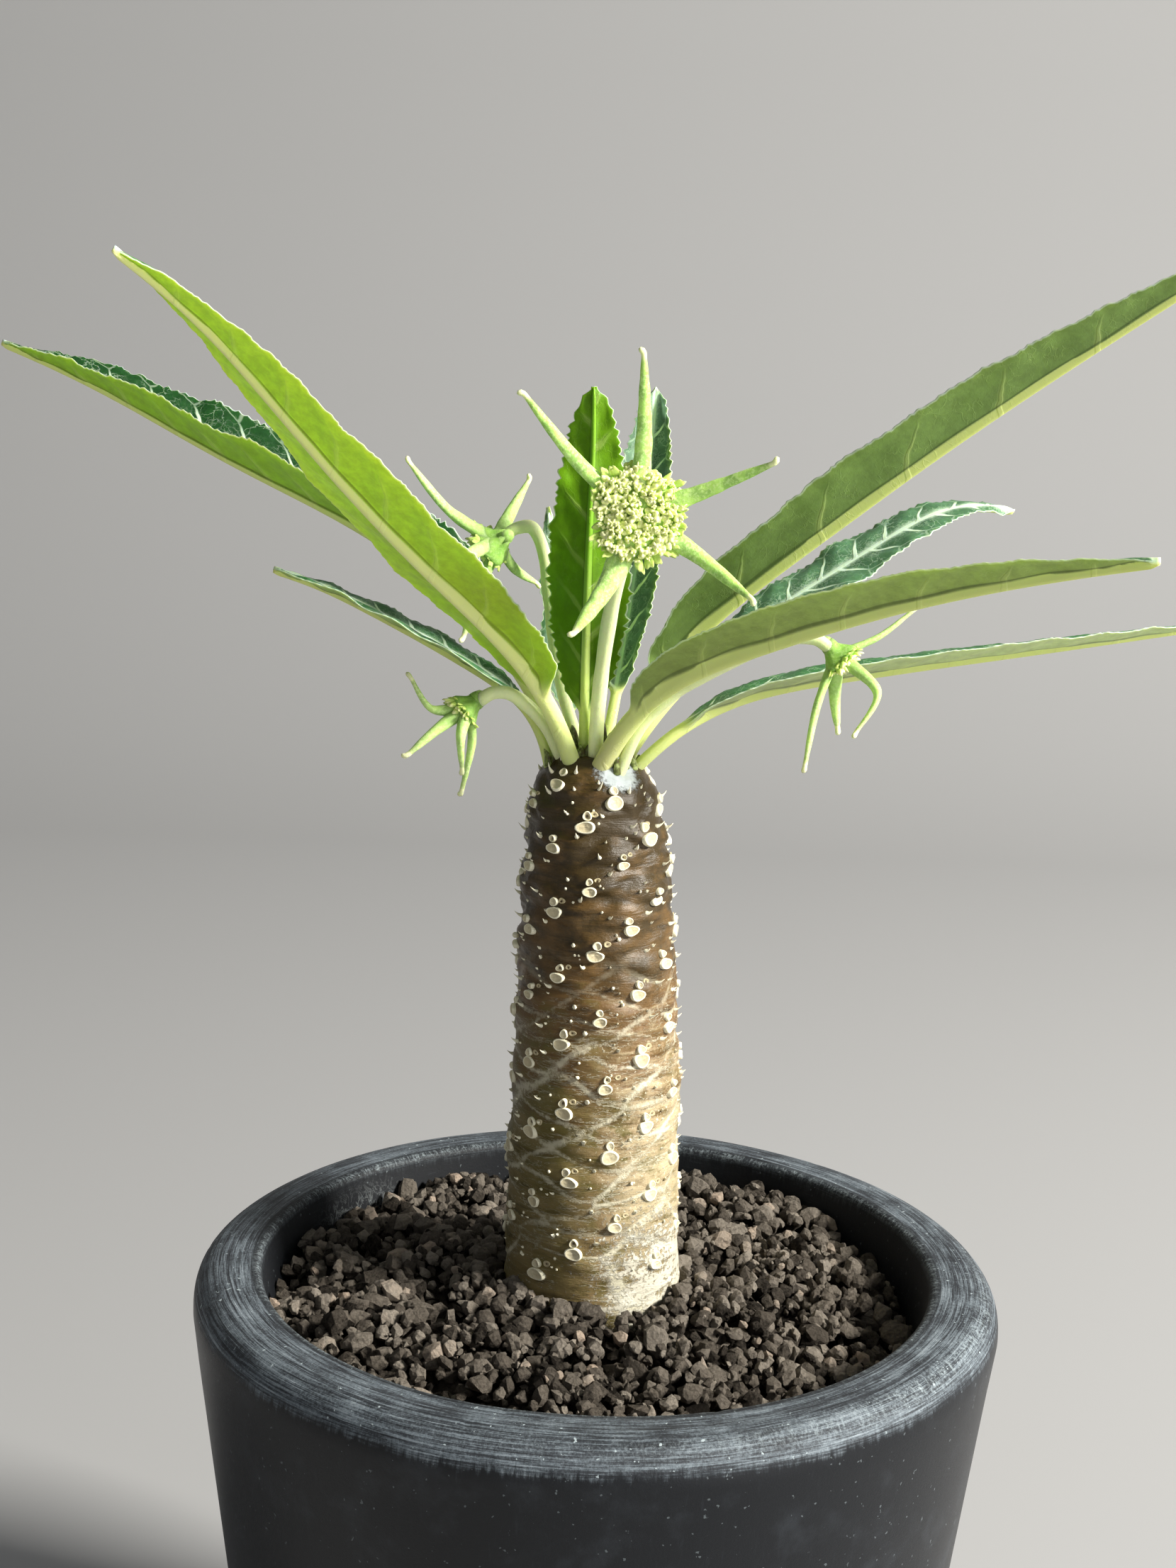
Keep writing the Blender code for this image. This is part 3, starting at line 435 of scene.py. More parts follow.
class Signal:
    """A value or colour in a material; arithmetic on it adds the nodes that work it out."""

    def __init__(self, look, socket):
        self.look = look
        self.socket = socket

    def __add__(self, other):
        return self.look.maths("ADD", self, other)

    def __sub__(self, other):
        return self.look.maths("SUBTRACT", self, other)

    def __rsub__(self, other):
        return self.look.maths("SUBTRACT", other, self)

    def __mul__(self, other):
        return self.look.maths("MULTIPLY", self, other)

    def __truediv__(self, other):
        return self.look.maths("DIVIDE", self, other)

    def __abs__(self):
        return self.look.maths("ABSOLUTE", self)

    def rise(self, low, high):
        """0 to 1 as the value goes from low to high, smooth; 1 to 0 if high is below low."""
        edges, ends = ((low, high), (0.0, 1.0)) if low < high else ((high, low), (1.0, 0.0))
        values = zip(("Value", "From Min", "From Max", "To Min", "To Max"), (self, *edges, *ends))
        return self.look.add("MapRange", values, interpolation_type="SMOOTHSTEP")

    def sway(self, amount):
        """A noise moved to lie round 0, times an amount."""
        return (self - 0.5) * amount

    __radd__ = __add__
    __rmul__ = __mul__


def pot_wall_radius(z):
    """Inner wall's radius at a height."""
    return POT_MOUTH_RADIUS - POT_TAPER * (POT_HEIGHT - z)


def soil_height(x, y):
    """Soil's mean height: mounded at the trunk, with its own level round the wall."""
    turn = np.degrees(np.arctan2(y, x))
    azimuths = [row[0] for row in SOIL_AT_WALL]
    levels = [row[1] for row in SOIL_AT_WALL]
    at_wall = np.interp(turn, azimuths, levels, period=360)
    out = np.clip((np.hypot(x, y) - SOIL_INNER) / (POT_MOUTH_RADIUS - SOIL_INNER), 0.0, None)
    return SOIL_AT_TRUNK + (at_wall - SOIL_AT_TRUNK) * out ** SOIL_MOUND


def trunk_axis(z):
    """The trunk's middle at a height."""
    return readings(TRUNK_LEAN, z)


def trunk_radius(z):
    """The trunk's radius at a height, eased where the profile's straight lines meet."""
    near = [readings(TRUNK_PROFILE, np.clip(z + shift, 54.0, 138.0)) for shift in (-1.5, -0.5, 0.5, 1.5)]
    return np.mean(near, axis=0)


def crown_height(x, y):
    """Height of the crown's surface at a place on it."""
    out = hypot(x - trunk_axis(TRUNK_SUMMIT), y)
    rows = [(0.0, TRUNK_SUMMIT)] + [(radius, z) for z, radius in reversed(TRUNK_PROFILE) if z > 120]
    return float(readings(rows, out))


def scar_step(z):
    """Rise from a scar to the next one up the spiral."""
    part = (z - SCAR_LOW) / (SCAR_HIGH - SCAR_LOW)
    return SCAR_STEP_LOW + (SCAR_STEP_HIGH - SCAR_STEP_LOW) * min(max(part, 0.0), 1.0)


def scar_places():
    """Height and angle of each leaf scar, up the spiral."""
    places = []
    z, turn = SCAR_ANCHOR
    while z > SCAR_LOW:
        z -= scar_step(z)
        turn -= SCAR_TURN
    while z < SCAR_TOP:
        z += scar_step(z)
        turn += SCAR_TURN
        if SCAR_LOW < z < SCAR_TOP:
            places.append((z, turn % (2 * pi)))
    return np.array(places)


def pot_profile():
    """Radius and height along the pot's section, from the foot's middle over the rim to the floor's."""
    rows = [(0.01, 0.0), (20.0, 0.0), (POT_FOOT_RADIUS - POT_FOOT_CHAMFER, 0.0)]
    rows += [(POT_FOOT_RADIUS - POT_FOOT_CHAMFER * (1 - sin(radians(a))),
              POT_FOOT_CHAMFER * (1 - cos(radians(a)))) for a in (15, 30, 45, 60, 75, 90)]
    edge = (POT_RADIUS - POT_EDGE_ROUND, POT_HEIGHT - POT_EDGE_ROUND)
    foot = rows[-1]
    for part in np.linspace(0.04, 0.97, 28):
        rows.append((foot[0] + (POT_RADIUS - foot[0]) * part, foot[1] + (edge[1] - foot[1]) * part))
    for degrees in np.linspace(0, 90, 18):
        turn = radians(degrees)
        rows.append((edge[0] + POT_EDGE_ROUND * cos(turn) ** RIM_SQUARE,
                     edge[1] + POT_EDGE_ROUND * sin(turn) ** RIM_SQUARE))
    for part in np.linspace(0.1, 0.9, 9):
        rows.append((edge[0] + (POT_MOUTH_RADIUS + POT_MOUTH_ROUND - edge[0]) * part, POT_HEIGHT))
    for degrees in np.linspace(90, 180, 8):
        turn = radians(degrees)
        rows.append((POT_MOUTH_RADIUS + POT_MOUTH_ROUND * (1 + cos(turn)),
                     POT_HEIGHT - POT_MOUTH_ROUND * (1 - sin(turn))))
    inward, upward = FLOOR_CORNER
    for z in np.linspace(POT_HEIGHT - 2.5, POT_FLOOR + upward, 24):
        rows.append((pot_wall_radius(z), z))
    rows += [(pot_wall_radius(POT_FLOOR) - inward, POT_FLOOR), (20.0, POT_FLOOR), (0.01, POT_FLOOR)]
    return np.array(rows)


def pot_finish(settings):
    """Black plastic with a greyed, brushed rim, white specks, a dusty band along the rim's mouth and outer edge whose
    outer part is mostly a painted highlight facing the key light, and painted shade on the inner wall.
    """
    look = Finish("scuffed_black_plastic", specular=0.28)
    round_pot = look.scaled("turned")
    wide = look.noise(look.scaled("turned", (0.07, 0.07, 3.2)), 1.0, 6.0, 0.6)
    streaks = look.noise(look.scaled("turned", (0.20, 0.20, 9.0)), 1.0, 5.0, 0.75)
    upright = look.noise(look.scaled("turned", (1.6, 1.6, 0.22)), 1.0, 5.0, 0.7)
    blotches = look.noise(round_pot, 0.16, 5.0, 0.6)
    grain = look.noise(round_pot, 3.4, 6.0, 0.75)
    specks = look.noise(round_pot, 1.5, 2.0, 0.5)
    inner = look.field("inner")

    rim = (look.field("worn", "X") + upright.sway(1.1) + blotches.sway(0.5)).rise(0.30, 0.80)
    rim = rim * (1 - inner * 0.8)
    wall = look.mix(blotches.rise(0.50, 0.78) * 0.50, settings.body_colour, settings.faded_colour)
    wall = look.mix(upright.rise(0.55, 0.85) * 0.35, wall, settings.faded_colour)
    # Painted shade: the inner wall is darkened nearly to black
    wall = look.mix(inner * 0.9, wall, (0.005, 0.006, 0.008))
    scratched = look.mix(inner * 0.4 * streaks.rise(0.55, 0.75) * look.noise(round_pot, 0.3).rise(0.45, 0.7), wall,
                         settings.scuff_colour)
    brushed = wide * 0.45 + streaks * 0.55 + grain.sway(0.30) + blotches.sway(0.25)
    worn = look.ramp(brushed, [(0.33, settings.body_colour), (0.47, settings.faded_colour),
                               (0.57, settings.scuff_colour), (0.72, settings.pale_scuff_colour)])
    colour = look.mix(rim, scratched, worn)
    # Dusty mouth, plus the painted highlight on the rim's outer edge facing the key light
    dust_and_highlight = look.field("worn", "Y") * (grain * 0.6 + upright * 0.4).rise(0.46, 0.62)
    colour = look.mix(dust_and_highlight * 0.6, colour, settings.dust_and_highlight_colour)
    colour = look.mix(specks.rise(0.70, 0.735) * (rim * 0.8 + 0.2), colour, settings.dust_and_highlight_colour)
    film = look.noise(round_pot, 0.45, 6.0, 0.7, 1.5)
    threads = abs(film - 0.5).rise(0.035, 0.008)
    residue = look.field("worn", "Z") * (threads * 0.5 + grain.rise(0.50, 0.75) * 0.2)
    colour = look.mix(residue, colour, (0.32, 0.35, 0.35))
    look.set("Base Color", colour)
    look.set("Roughness", rim * 0.20 + inner * 0.25 + grain * 0.14 + 0.30)
    look.bump(streaks * rim, 0.10, 0.6)
    look.bump(grain, 0.06, 0.5)
    return look.material


def make_pot(settings):
    """Turned pot with a worn flat rim, its drain holes and the channels under its foot."""
    profile = pot_profile()
    sides = settings.sides
    turns = 2 * pi * np.arange(sides) / sides
    ring = np.stack([np.cos(turns), np.sin(turns)], axis=-1)
    points = np.empty((len(profile), sides, 3))
    points[..., :2] = profile[:, :1][..., None] * ring
    points[..., 2] = profile[:, 1:]
    length = np.concatenate([[0.0], np.cumsum(np.hypot(*np.diff(profile, axis=0).T))])
    turned = np.empty_like(points)
    turned[..., :2] = POT_RADIUS * ring
    turned[..., 2] = length[:, None]
    near_rim = fade(points[..., 2], POT_HEIGHT - 14.0, POT_HEIGHT - 4.0)
    uneven = ripple(points * (1, 1, 3), 26.0, 3)
    points[..., :2] += 0.10 * (uneven * near_rim)[..., None] * ring
    flat = fade(points[..., 2], POT_HEIGHT - 0.35, POT_HEIGHT - 0.05)
    rings = 0.05 * ripple(turned * (0.15, 0.15, 4.0), 4.0, 6)
    nicks = np.clip(ripple(points, 2.6, 5) - 1.35, 0.0, None) * near_rim
    points[..., 2] += np.minimum(rings * flat - 0.25 * nicks, 0.0)

    below = POT_HEIGHT - points[..., 2]
    out = np.hypot(points[..., 0], points[..., 1])
    facing = np.degrees(np.arctan2(points[..., 1], points[..., 0]))
    inner = (np.arange(len(profile)) > 62)[:, None] * np.ones(sides)
    rim = fade(below, 4.8, 1.0) * (1 - inner * fade(below, 0.4, 1.6))
    # The outer edge's band is faint all round and strong where it faces the key light: a painted highlight; the band
    # at the mouth is dusty
    sunny = 0.12 + np.exp(-((facing + 32) / 38) ** 2)
    dust_and_rim_highlight = sunny * np.exp(-((out - POT_RADIUS + 1.6) / 0.9) ** 2) * fade(below, 3.2, 1.0)
    dust_and_rim_highlight += 0.8 * np.exp(-((out - POT_MOUTH_RADIUS - 0.5) / 0.40) ** 2) * fade(below, 1.2, 0.3)
    above_soil = points[..., 2] - soil_height(points[..., 0], points[..., 1])
    residue = inner * np.exp(-((facing - 144) / 10) ** 4) * fade(above_soil, 3.2, 0.2)
    shape = Shape()
    shape.add_rings(points, turned=turned.reshape(-1, 3), inner=inner.ravel(),
                    worn=np.stack([rim, dust_and_rim_highlight, residue], axis=-1).reshape(-1, 3))
    pot = shape.piece("pot_body", pot_finish(settings), "pot")
    cut_drains(pot)
    pot.data.set_sharp_from_angle(angle=radians(50))
    return pot


def cut_drains(pot):
    """Cut the drain holes and the channels that lead from them to the foot's edge."""
    drains = bmesh.new()
    channels = bmesh.new()
    for i in range(DRAIN_COUNT):
        spin = Matrix.Rotation(2 * pi * (i + 0.5) / DRAIN_COUNT, 4, "Z")
        hole = bmesh.ops.create_cone(drains, cap_ends=True, segments=40, radius1=DRAIN_RADIUS * MM,
                                     radius2=DRAIN_RADIUS * MM, depth=3 * POT_FLOOR * MM)["verts"]
        bmesh.ops.translate(drains, vec=(DRAIN_CIRCLE * MM, 0, 0), verts=hole)
        bmesh.ops.transform(drains, matrix=spin, verts=hole)
        bar = bmesh.ops.create_cube(channels, size=MM)["verts"]
        bmesh.ops.scale(channels, vec=(POT_FOOT_RADIUS, CHANNEL_WIDTH, 2 * CHANNEL_DEPTH), verts=bar)
        bmesh.ops.translate(channels, vec=((DRAIN_CIRCLE + POT_FOOT_RADIUS / 2) * MM, 0, 0), verts=bar)
        bmesh.ops.transform(channels, matrix=spin, verts=bar)
    for shape in (drains, channels):
        mesh = bpy.data.meshes.new("cutter")
        shape.to_mesh(mesh)
        shape.free()
        cutter = bpy.data.objects.new("cutter", mesh)
        bpy.context.scene.collection.objects.link(cutter)
        modifier = pot.modifiers.new("cut", "BOOLEAN")
        modifier.operation = "DIFFERENCE"
        modifier.object = cutter
        modifier.solver = "EXACT"
        graph = bpy.context.evaluated_depsgraph_get()
        result = bpy.data.meshes.new_from_object(pot.evaluated_get(graph))
        pot.modifiers.clear()
        pot.data = result
        bpy.data.objects.remove(cutter, do_unlink=True)


def stone_kinds(draw, count, points):
    """Small angular stones of about unit size: hulls of random points on a lumpy ball."""
    kinds = []
    for _ in range(count):
        bm = bmesh.new()
        for spot in unit(draw.normal(size=(points, 3))) * draw.uniform(0.72, 1.0, (points, 1)):
            bm.verts.new(spot)
        hull = bmesh.ops.convex_hull(bm, input=bm.verts)
        bmesh.ops.delete(bm, geom=list(set(hull["geom_interior"] + hull["geom_unused"])), context="VERTS")
        bmesh.ops.triangulate(bm, faces=bm.faces)
        kinds.append(corners_and_faces(bm))
    return kinds


def crumb_kinds(draw, count):
    """Rough crumbs of about unit size: lumpy balls with flats broken off them."""
    kinds = []
    for _ in range(count):
        bm = bmesh.new()
        bmesh.ops.create_icosphere(bm, subdivisions=2, radius=1.0)
        ways, faces = corners_and_faces(bm)
        flats = unit(draw.normal(size=(9, 3)))
        depths = draw.uniform(0.55, 0.95, 9)
        towards = ways @ flats.T
        reach = np.where(towards > 0.1, depths / np.maximum(towards, 0.1), 9.0).min(axis=1)
        reach = np.minimum(reach, 1.15) * (1 + draw.normal(0, 0.07, len(ways)))
        kinds.append((ways * reach[:, None], faces))
    return kinds


def corners_and_faces(bm):
    """Corners and triangles of a bmesh, which is freed."""
    bm.verts.index_update()
    corners = np.array([vert.co[:] for vert in bm.verts])
    faces = np.array([[vert.index for vert in face.verts] for face in bm.faces])
    bm.free()
    return corners, faces
# Register the add-on and run its steps in order.


def random_turns(draw, count):
    """Random rotation matrices."""
    q = unit(draw.normal(size=(count, 4)))
    w, x, y, z = q.T
    return np.stack([1 - 2 * (y * y + z * z), 2 * (x * y - z * w), 2 * (x * z + y * w),
                     2 * (x * y + z * w), 1 - 2 * (x * x + z * z), 2 * (y * z - x * w),
                     2 * (x * z - y * w), 2 * (y * z + x * w), 1 - 2 * (x * x + y * y)],
                    axis=-1).reshape(-1, 3, 3)


def grit_finish(settings):
    """Dry crumbly grit: each grain has its own tone, from nearly black to tan, lowered as painted shade in deeper
    layers and in the dips of its bump.
    """
    look = Finish("crumbly_grit", roughness=0.95, specular=0.05)
    place = look.place()
    mottled = look.noise(place, 1.6, 6.0, 0.7)
    crumbs = look.noise(place, 2.6, 5.0, 0.8)
    # The dips of the crumbly bump are darkened: painted shade
    shade = look.field("tone") * 0.78 + mottled * 0.40 - crumbs.rise(0.48, 0.30) * 0.18
    look.set("Base Color", look.ramp(shade, [(0.15, settings.dark_colour), (0.42, settings.middle_colour),
                                             (0.72, settings.pale_colour), (1.0, settings.tan_colour)]))
    look.bump(crumbs + look.cells(place, 2.2, "F1") * 0.5, 0.50)
    return look.material


def make_substrate(settings):
    """Crumbs and stones heaped in layers round the trunk, over a lumpy bed."""
    draw = np.random.default_rng(settings.seed)
    finish = grit_finish(settings)
    make_bed(finish)
    stones = stone_kinds(draw, 16, 15)
    crumbs = crumb_kinds(draw, 14) + stone_kinds(draw, 18, 30)
    pitch = settings.grain_size / MM
    layers = [("grit_deep", stones, 1.5, -1.7, 1.30), ("grit_middle", stones, 1.15, -0.85, 1.1),
              ("grit_top", crumbs, 1.0, 0.0, 1.0), ("grit_fine", stones, 1.1, 0.15, 0.5)]
    for name, kinds, spread, lift, size in layers:
        x, y = scattered(draw, pitch * spread)
        flat = np.stack([x, y], axis=-1)
        heaps = 0.75 * ripple(flat, 12.0, 8) + 0.5 * ripple(flat, 4.5, 9)
        if lift >= 0:
            kept = heaps + draw.normal(0, 0.6, len(x)) > (-0.75 if size == 1.0 else 0.2)
            x, y, heaps = x[kept], y[kept], heaps[kept]
        z = soil_height(x, y) + lift + 0.8 * heaps + draw.normal(0, 0.26, len(x))
        shape = Shape()
        # Deeper layers get a lower tone: painted shade
        add_stones(shape, draw, kinds, np.stack([x, y, z], axis=-1), pitch * size, min(lift, 0.0) * 0.20)
        shape.piece(name, finish, "substrate" if size == 1.0 else None, smooth=False)


def scattered(draw, pitch):
    """Places over the ring between trunk and wall, about a pitch apart, on a shaken triangular grid."""
    reach = int(POT_MOUTH_RADIUS / pitch) + 2
    i, j = np.meshgrid(np.arange(-reach, reach + 1), np.arange(-reach - 4, reach + 5), indexing="ij")
    x = (i + 0.5 * (j % 2)) * pitch
    y = j * pitch * 0.866
    x = (x + draw.uniform(-0.42, 0.42, x.shape) * pitch).ravel()
    y = (y + draw.uniform(-0.42, 0.42, y.shape) * pitch).ravel()
    out = np.hypot(x - trunk_axis(SOIL_AT_TRUNK), y)
    wall = pot_wall_radius(soil_height(x, y))
    kept = (out > trunk_radius(SOIL_AT_TRUNK) + 0.25 * pitch) & (np.hypot(x, y) < wall - 0.30 * pitch)
    return x[kept], y[kept]


def add_stones(shape, draw, kinds, places, size, darker):
    """Stones of random kind, size, stretch, turn and tone at places, kept inside the pot; the last argument lowers the
    tone as painted shade in deeper layers.
    """
    count = len(places)
    scale = size * 0.5 * np.clip(draw.lognormal(0.06, 0.30, count), 0.55, 1.9)
    stretch = draw.uniform(0.68, 1.32, (count, 3))
    turns = random_turns(draw, count)
    which = draw.integers(0, len(kinds), count)
    tones = np.clip(draw.normal(0.36, 0.22, count), 0.0, 0.82)
    tones = np.where(draw.uniform(size=count) > 0.965, draw.uniform(0.8, 1.0, count), tones)
    wall = pot_wall_radius(places[:, 2]) - 0.25
    for i in range(count):
        corners, faces = kinds[which[i]]
        points = places[i] + (corners * stretch[i] * scale[i]) @ turns[i].T
        out = np.hypot(points[:, 0], points[:, 1])
        points[:, :2] *= np.clip(wall[i] / np.maximum(out, 0.1), None, 1.0)[:, None]
        shape.add(points, faces, tone=np.full(len(points), tones[i] + darker))


def make_bed(finish):
    """The dark mass below the loose grains, down to the pot's floor."""
    radii = np.linspace(0.0, 1.0, 60)
    turns = 2 * pi * np.arange(160) / 160
    inner = SOIL_INNER - 1.2
    rows = []
    for part in radii:
        radius = inner + (POT_MOUTH_RADIUS - 1.6 - inner) * part
        x = trunk_axis(SOIL_AT_TRUNK) * (1 - part) + radius * np.cos(turns)
        y = radius * np.sin(turns)
        flat = np.stack([x, y], axis=-1)
        z = soil_height(x, y) - 2.6 + 0.7 * ripple(flat, 13.0, 8) + 0.35 * ripple(flat, 3.0, 12)
        rows.append(np.stack([x, y, z], axis=-1))
    low = POT_FLOOR + 0.3
    for z in np.linspace(66.0, low, 6):
        radius = pot_wall_radius(z) - 0.4 - (FLOOR_CORNER[0] if z == low else 0.0)
        rows.append(np.stack([radius * np.cos(turns), radius * np.sin(turns), np.full(160, z)], axis=-1))
    rings = np.array(rows)
    shape = Shape()
    shape.add_rings(rings, cap_start=False, tone=np.full(rings.shape[0] * 160, 0.12))
    shape.piece("grit_bed", finish, None)


def bark_finish(settings):
    """Dark waxy bark at the crown, warm brown and olive below, netted with pale corky lines; ruddy brown, cream and
    brighter lines on the side facing the key light are painted light, dark bands in the furrows painted shade.
    """
    look = Finish("waxy_bark", specular=0.36)
    low = look.field("bark", "X")
    net = look.field("bark", "Y")
    chalk = look.field("bark", "Z")
    pale = look.field("age_and_lit_side", "X")
    place = look.place()
    soft = look.noise(place, 0.20, 4.0, 0.55)
    patchy = look.noise(place, 0.42, 5.0, 0.65)
    fine = look.noise(place, 2.4, 6.0, 0.7)
    speck = look.noise(place, 3.6, 3.0, 0.6)
    banded = look.noise(look.scaled("skin", (0.16, 0.16, 0.9)), 1.0, 5.0, 0.65, 0.4)
    hairline = look.noise(look.scaled("skin", (0.30, 0.30, 1.3)), 1.0, 3.0, 0.6, 0.8)

    depth = low + soft.sway(0.8) + banded.sway(0.7) + patchy.sway(0.7)
    colour = look.ramp(depth, [(0.05, settings.dark_colour), (0.42, settings.brown_colour),
                               (0.72, settings.olive_colour), (1.0, settings.tan_colour)])
    # Ruddy brown on the side facing the key light: painted light
    ruddy_on_lit_side = look.field("age_and_lit_side", "Z") * low.rise(0.30, 0.55) * (patchy + banded.sway(0.6)).rise(0.36, 0.56)
    colour = look.mix(ruddy_on_lit_side * 0.6, colour, settings.ruddy_lit_colour)
    # Painted shade: dark bands in the furrows of the banded bump
    colour = look.mix(banded.rise(0.46, 0.30) * 0.45, colour, (0.020, 0.011, 0.003))
    # Cream on the side facing the key light is painted light; the pale band at the foot is the bark's own
    cream_and_lit_side = pale + fine.sway(0.6) + banded.sway(1.4) + patchy.sway(0.8)
    colour = look.mix(cream_and_lit_side.rise(0.42, 0.98) * 0.85, colour, settings.cream_lit_colour)

    borders = (net + fine.sway(1.2) + soft.sway(1.2)).rise(0.52, 0.0)
    strands = abs(banded - 0.47).rise(0.020, 0.005) * net.rise(2.2, 0.3)
    cracks = abs(hairline - 0.52).rise(0.014, 0.003) * look.noise(place, 0.35).rise(0.42, 0.56)
    broken = look.noise(place, 0.5, 5.0, 0.7).rise(0.30, 0.52)
    lines = look.most(borders * broken, strands * 0.8, cracks * 0.8) * low.rise(0.16, 0.55)
    # Net lines and specks show more strongly on the lit side: painted light
    colour = look.mix(lines * (pale * 0.30 + 0.62), colour, settings.net_colour)
    colour = look.mix(speck.rise(0.62, 0.68) * pale.rise(0.10, 0.7) * 0.85, colour, settings.net_colour)
    # Flaky crust above the grit, made stronger on the lit side as painted light
    crust = (look.field("age_and_lit_side", "Y") + fine.sway(1.5) + patchy.sway(0.9) + banded.sway(1.1)).rise(0.46, 0.62)
    colour = look.mix(crust * 0.75, colour, settings.crust_colour)
    film = (chalk + fine.sway(0.9)).rise(0.40, 0.72)
    colour = look.mix(film * 0.92, colour, (0.50, 0.55, 0.57))
    look.set("Base Color", colour)
    look.set("Roughness", low * 0.25 + fine * 0.25 + film * 0.3 + 0.20)
    look.bump(banded, 0.34, 0.7)
    look.bump(fine, 0.10, 0.6)
    look.bump(lines + film + crust, 0.16, 0.7)
    return look.material


def scar_finish(settings):
    """Corky disc: a tan middle with fine darker marks inside a raised cream rim, and painted shade in a pit's hollow.
    """
    look = Finish("corky_scar", roughness=0.6, specular=0.3)
    tone = look.field("disc", "Z")
    grain = look.noise(look.place(), 4.5, 5.0, 0.7)
    middle = look.mix(tone, settings.scar_middle, settings.scar_pale)
    middle = look.mix(grain.rise(0.62, 0.38) * 0.5, middle, settings.scar_middle)
    ragged = look.field("disc", "X") + grain.sway(0.14)
    colour = look.mix(ragged.rise(0.72, 0.86) * tone.rise(-0.35, 0.05), middle, settings.scar_rim)
    # Painted shade: the hollow of a pitted disc is darkened
    colour = look.mix(ragged.rise(0.46, 0.20) * look.field("disc", "Y") * 0.85, colour, (0.060, 0.034, 0.015))
    look.set("Base Color", colour)
    look.bump(grain, 0.08, 0.6)
    return look.material


def trunk_surface(z, turn):
    """Points, distance from the nearest cell border, and places on the skin, at heights and angles."""
    centre_x = trunk_axis(z)
    skin = np.stack([TRUNK_GIRTH * np.cos(turn), TRUNK_GIRTH * np.sin(turn), z], axis=-1)
    bent_z = z + 0.9 * ripple(skin, 9.0, 24)
    bent_turn = turn + 0.08 * ripple(skin, 6.5, 25)
    nearest = np.full(z.shape, 99.0)
    second = np.full(z.shape, 99.0)
    for scar_z, scar_turn in scar_places():
        across = (bent_turn - scar_turn + pi) % (2 * pi) - pi
        away = np.hypot(across * TRUNK_GIRTH * 0.36, bent_z - scar_z - 0.5)
        second = np.minimum(second, np.maximum(nearest, away))
        nearest = np.minimum(nearest, away)
    border = second - nearest
    high = fade(z, 100.0, 126.0)
    swell = fade(border, 0.0, 2.0) * (0.16 + 0.28 * high) - 0.10 - 0.14 * high
    swell *= fade(z, 137.2, 134.5) * fade(z, 76.0, 82.0)
    lumps = 0.16 * ripple(skin, 14.0, 21) + 0.09 * ripple(skin * (0.7, 0.7, 1.8), 4.0, 22)
    wrinkles = 0.05 * ripple(skin * (0.4, 0.4, 2.6), 2.4, 23) * (0.5 + high)
    out = trunk_radius(z) + (swell + lumps + wrinkles) * fade(z, 138.2, 136.0)
    points = np.stack([centre_x + out * np.cos(turn), out * np.sin(turn), z], axis=-1)
    return points, border, skin


def chalk_amount(points):
    """How much white film lies at points: a patch on the crown's front right."""
    away = (points - CHALK_PLACE) / np.array([3.2, 3.2, 2.6])
    return np.exp(-(away ** 2).sum(-1)) * 1.4


def make_trunk_body(settings):
    """Trunk with its swellings round the scars, its wrinkles and its rounded crown."""
    rows = np.concatenate([np.linspace(60.0, 76.0, 10)[:-1], np.linspace(76.0, 135.5, 210),
                           np.linspace(135.8, 138.0, 16)])
    sides = 250
    turns = 2 * pi * np.arange(sides) / sides
    z, turn = np.meshgrid(rows, turns, indexing="ij")
    points, border, skin = trunk_surface(z, turn)
    middle = np.array([trunk_axis(TRUNK_SUMMIT), 0.0, TRUNK_SUMMIT])
    cap = []
    for part in np.linspace(0.82, 0.04, 12):
        ring = middle + (points[-1] - middle) * part
        ring[:, 2] = TRUNK_SUMMIT - (TRUNK_SUMMIT - 138.0) * part ** 2 + 0.10 * ripple(ring, 1.8, 31)
        cap.append(ring)
    points = np.concatenate([points, np.array(cap)])
    border = np.concatenate([border, np.full((len(cap), sides), 3.0)])
    skin = np.concatenate([skin, np.array(cap)])
    chalk = chalk_amount(points)
    film = fade(chalk + 0.35 * ripple(points, 1.2, 33), 0.45, 0.8)
    out = points - np.stack([trunk_axis(points[..., 2]), np.zeros_like(chalk), points[..., 2] - 3.0], axis=-1)
    points = points + unit(out) * (0.10 * film * (1 + 0.6 * ripple(points, 0.9, 34)))[..., None]
    height = points[..., 2]
    low = fade(height, 134.0, 80.0)
    facing = np.arctan2(points[..., 1], points[..., 0] - trunk_axis(height))
    # sunny is the side facing the key light; the cream, ruddy brown and extra crust it drives are painted light, while
    # the pale band at the foot is the bark's own
    sunny = fade(np.cos(facing + radians(30)), 0.1, 1.0)
    pale = fade(height, 129.0, 91.0) * (0.02 + 0.80 * sunny) + 0.15 * fade(height, 84.0, 78.5)
    crust = fade(height, 99.0, 79.0) * (0.20 + 0.50 * sunny)
    fields = dict(bark=np.stack([low, border, chalk], axis=-1).reshape(-1, 3), skin=skin.reshape(-1, 3),
                  age_and_lit_side=np.stack([pale, crust, sunny], axis=-1).reshape(-1, 3))
    shape = Shape()
    shape.add_rings(points, **fields)
    return shape.piece("trunk_bark", bark_finish(settings), "trunk")


def on_trunk(z, turn):
    """Place on the bark, with its outward, sideways and upward directions."""
    spot = trunk_surface(np.array([z]), np.array([turn]))[0][0]
    slope = trunk_radius(z + 0.7) - trunk_radius(z - 0.7)
    out = unit(np.array([cos(turn), sin(turn), -slope / 1.4]))
    side = np.array([-sin(turn), cos(turn), 0.0])
    return spot, out, side, np.cross(out, side)


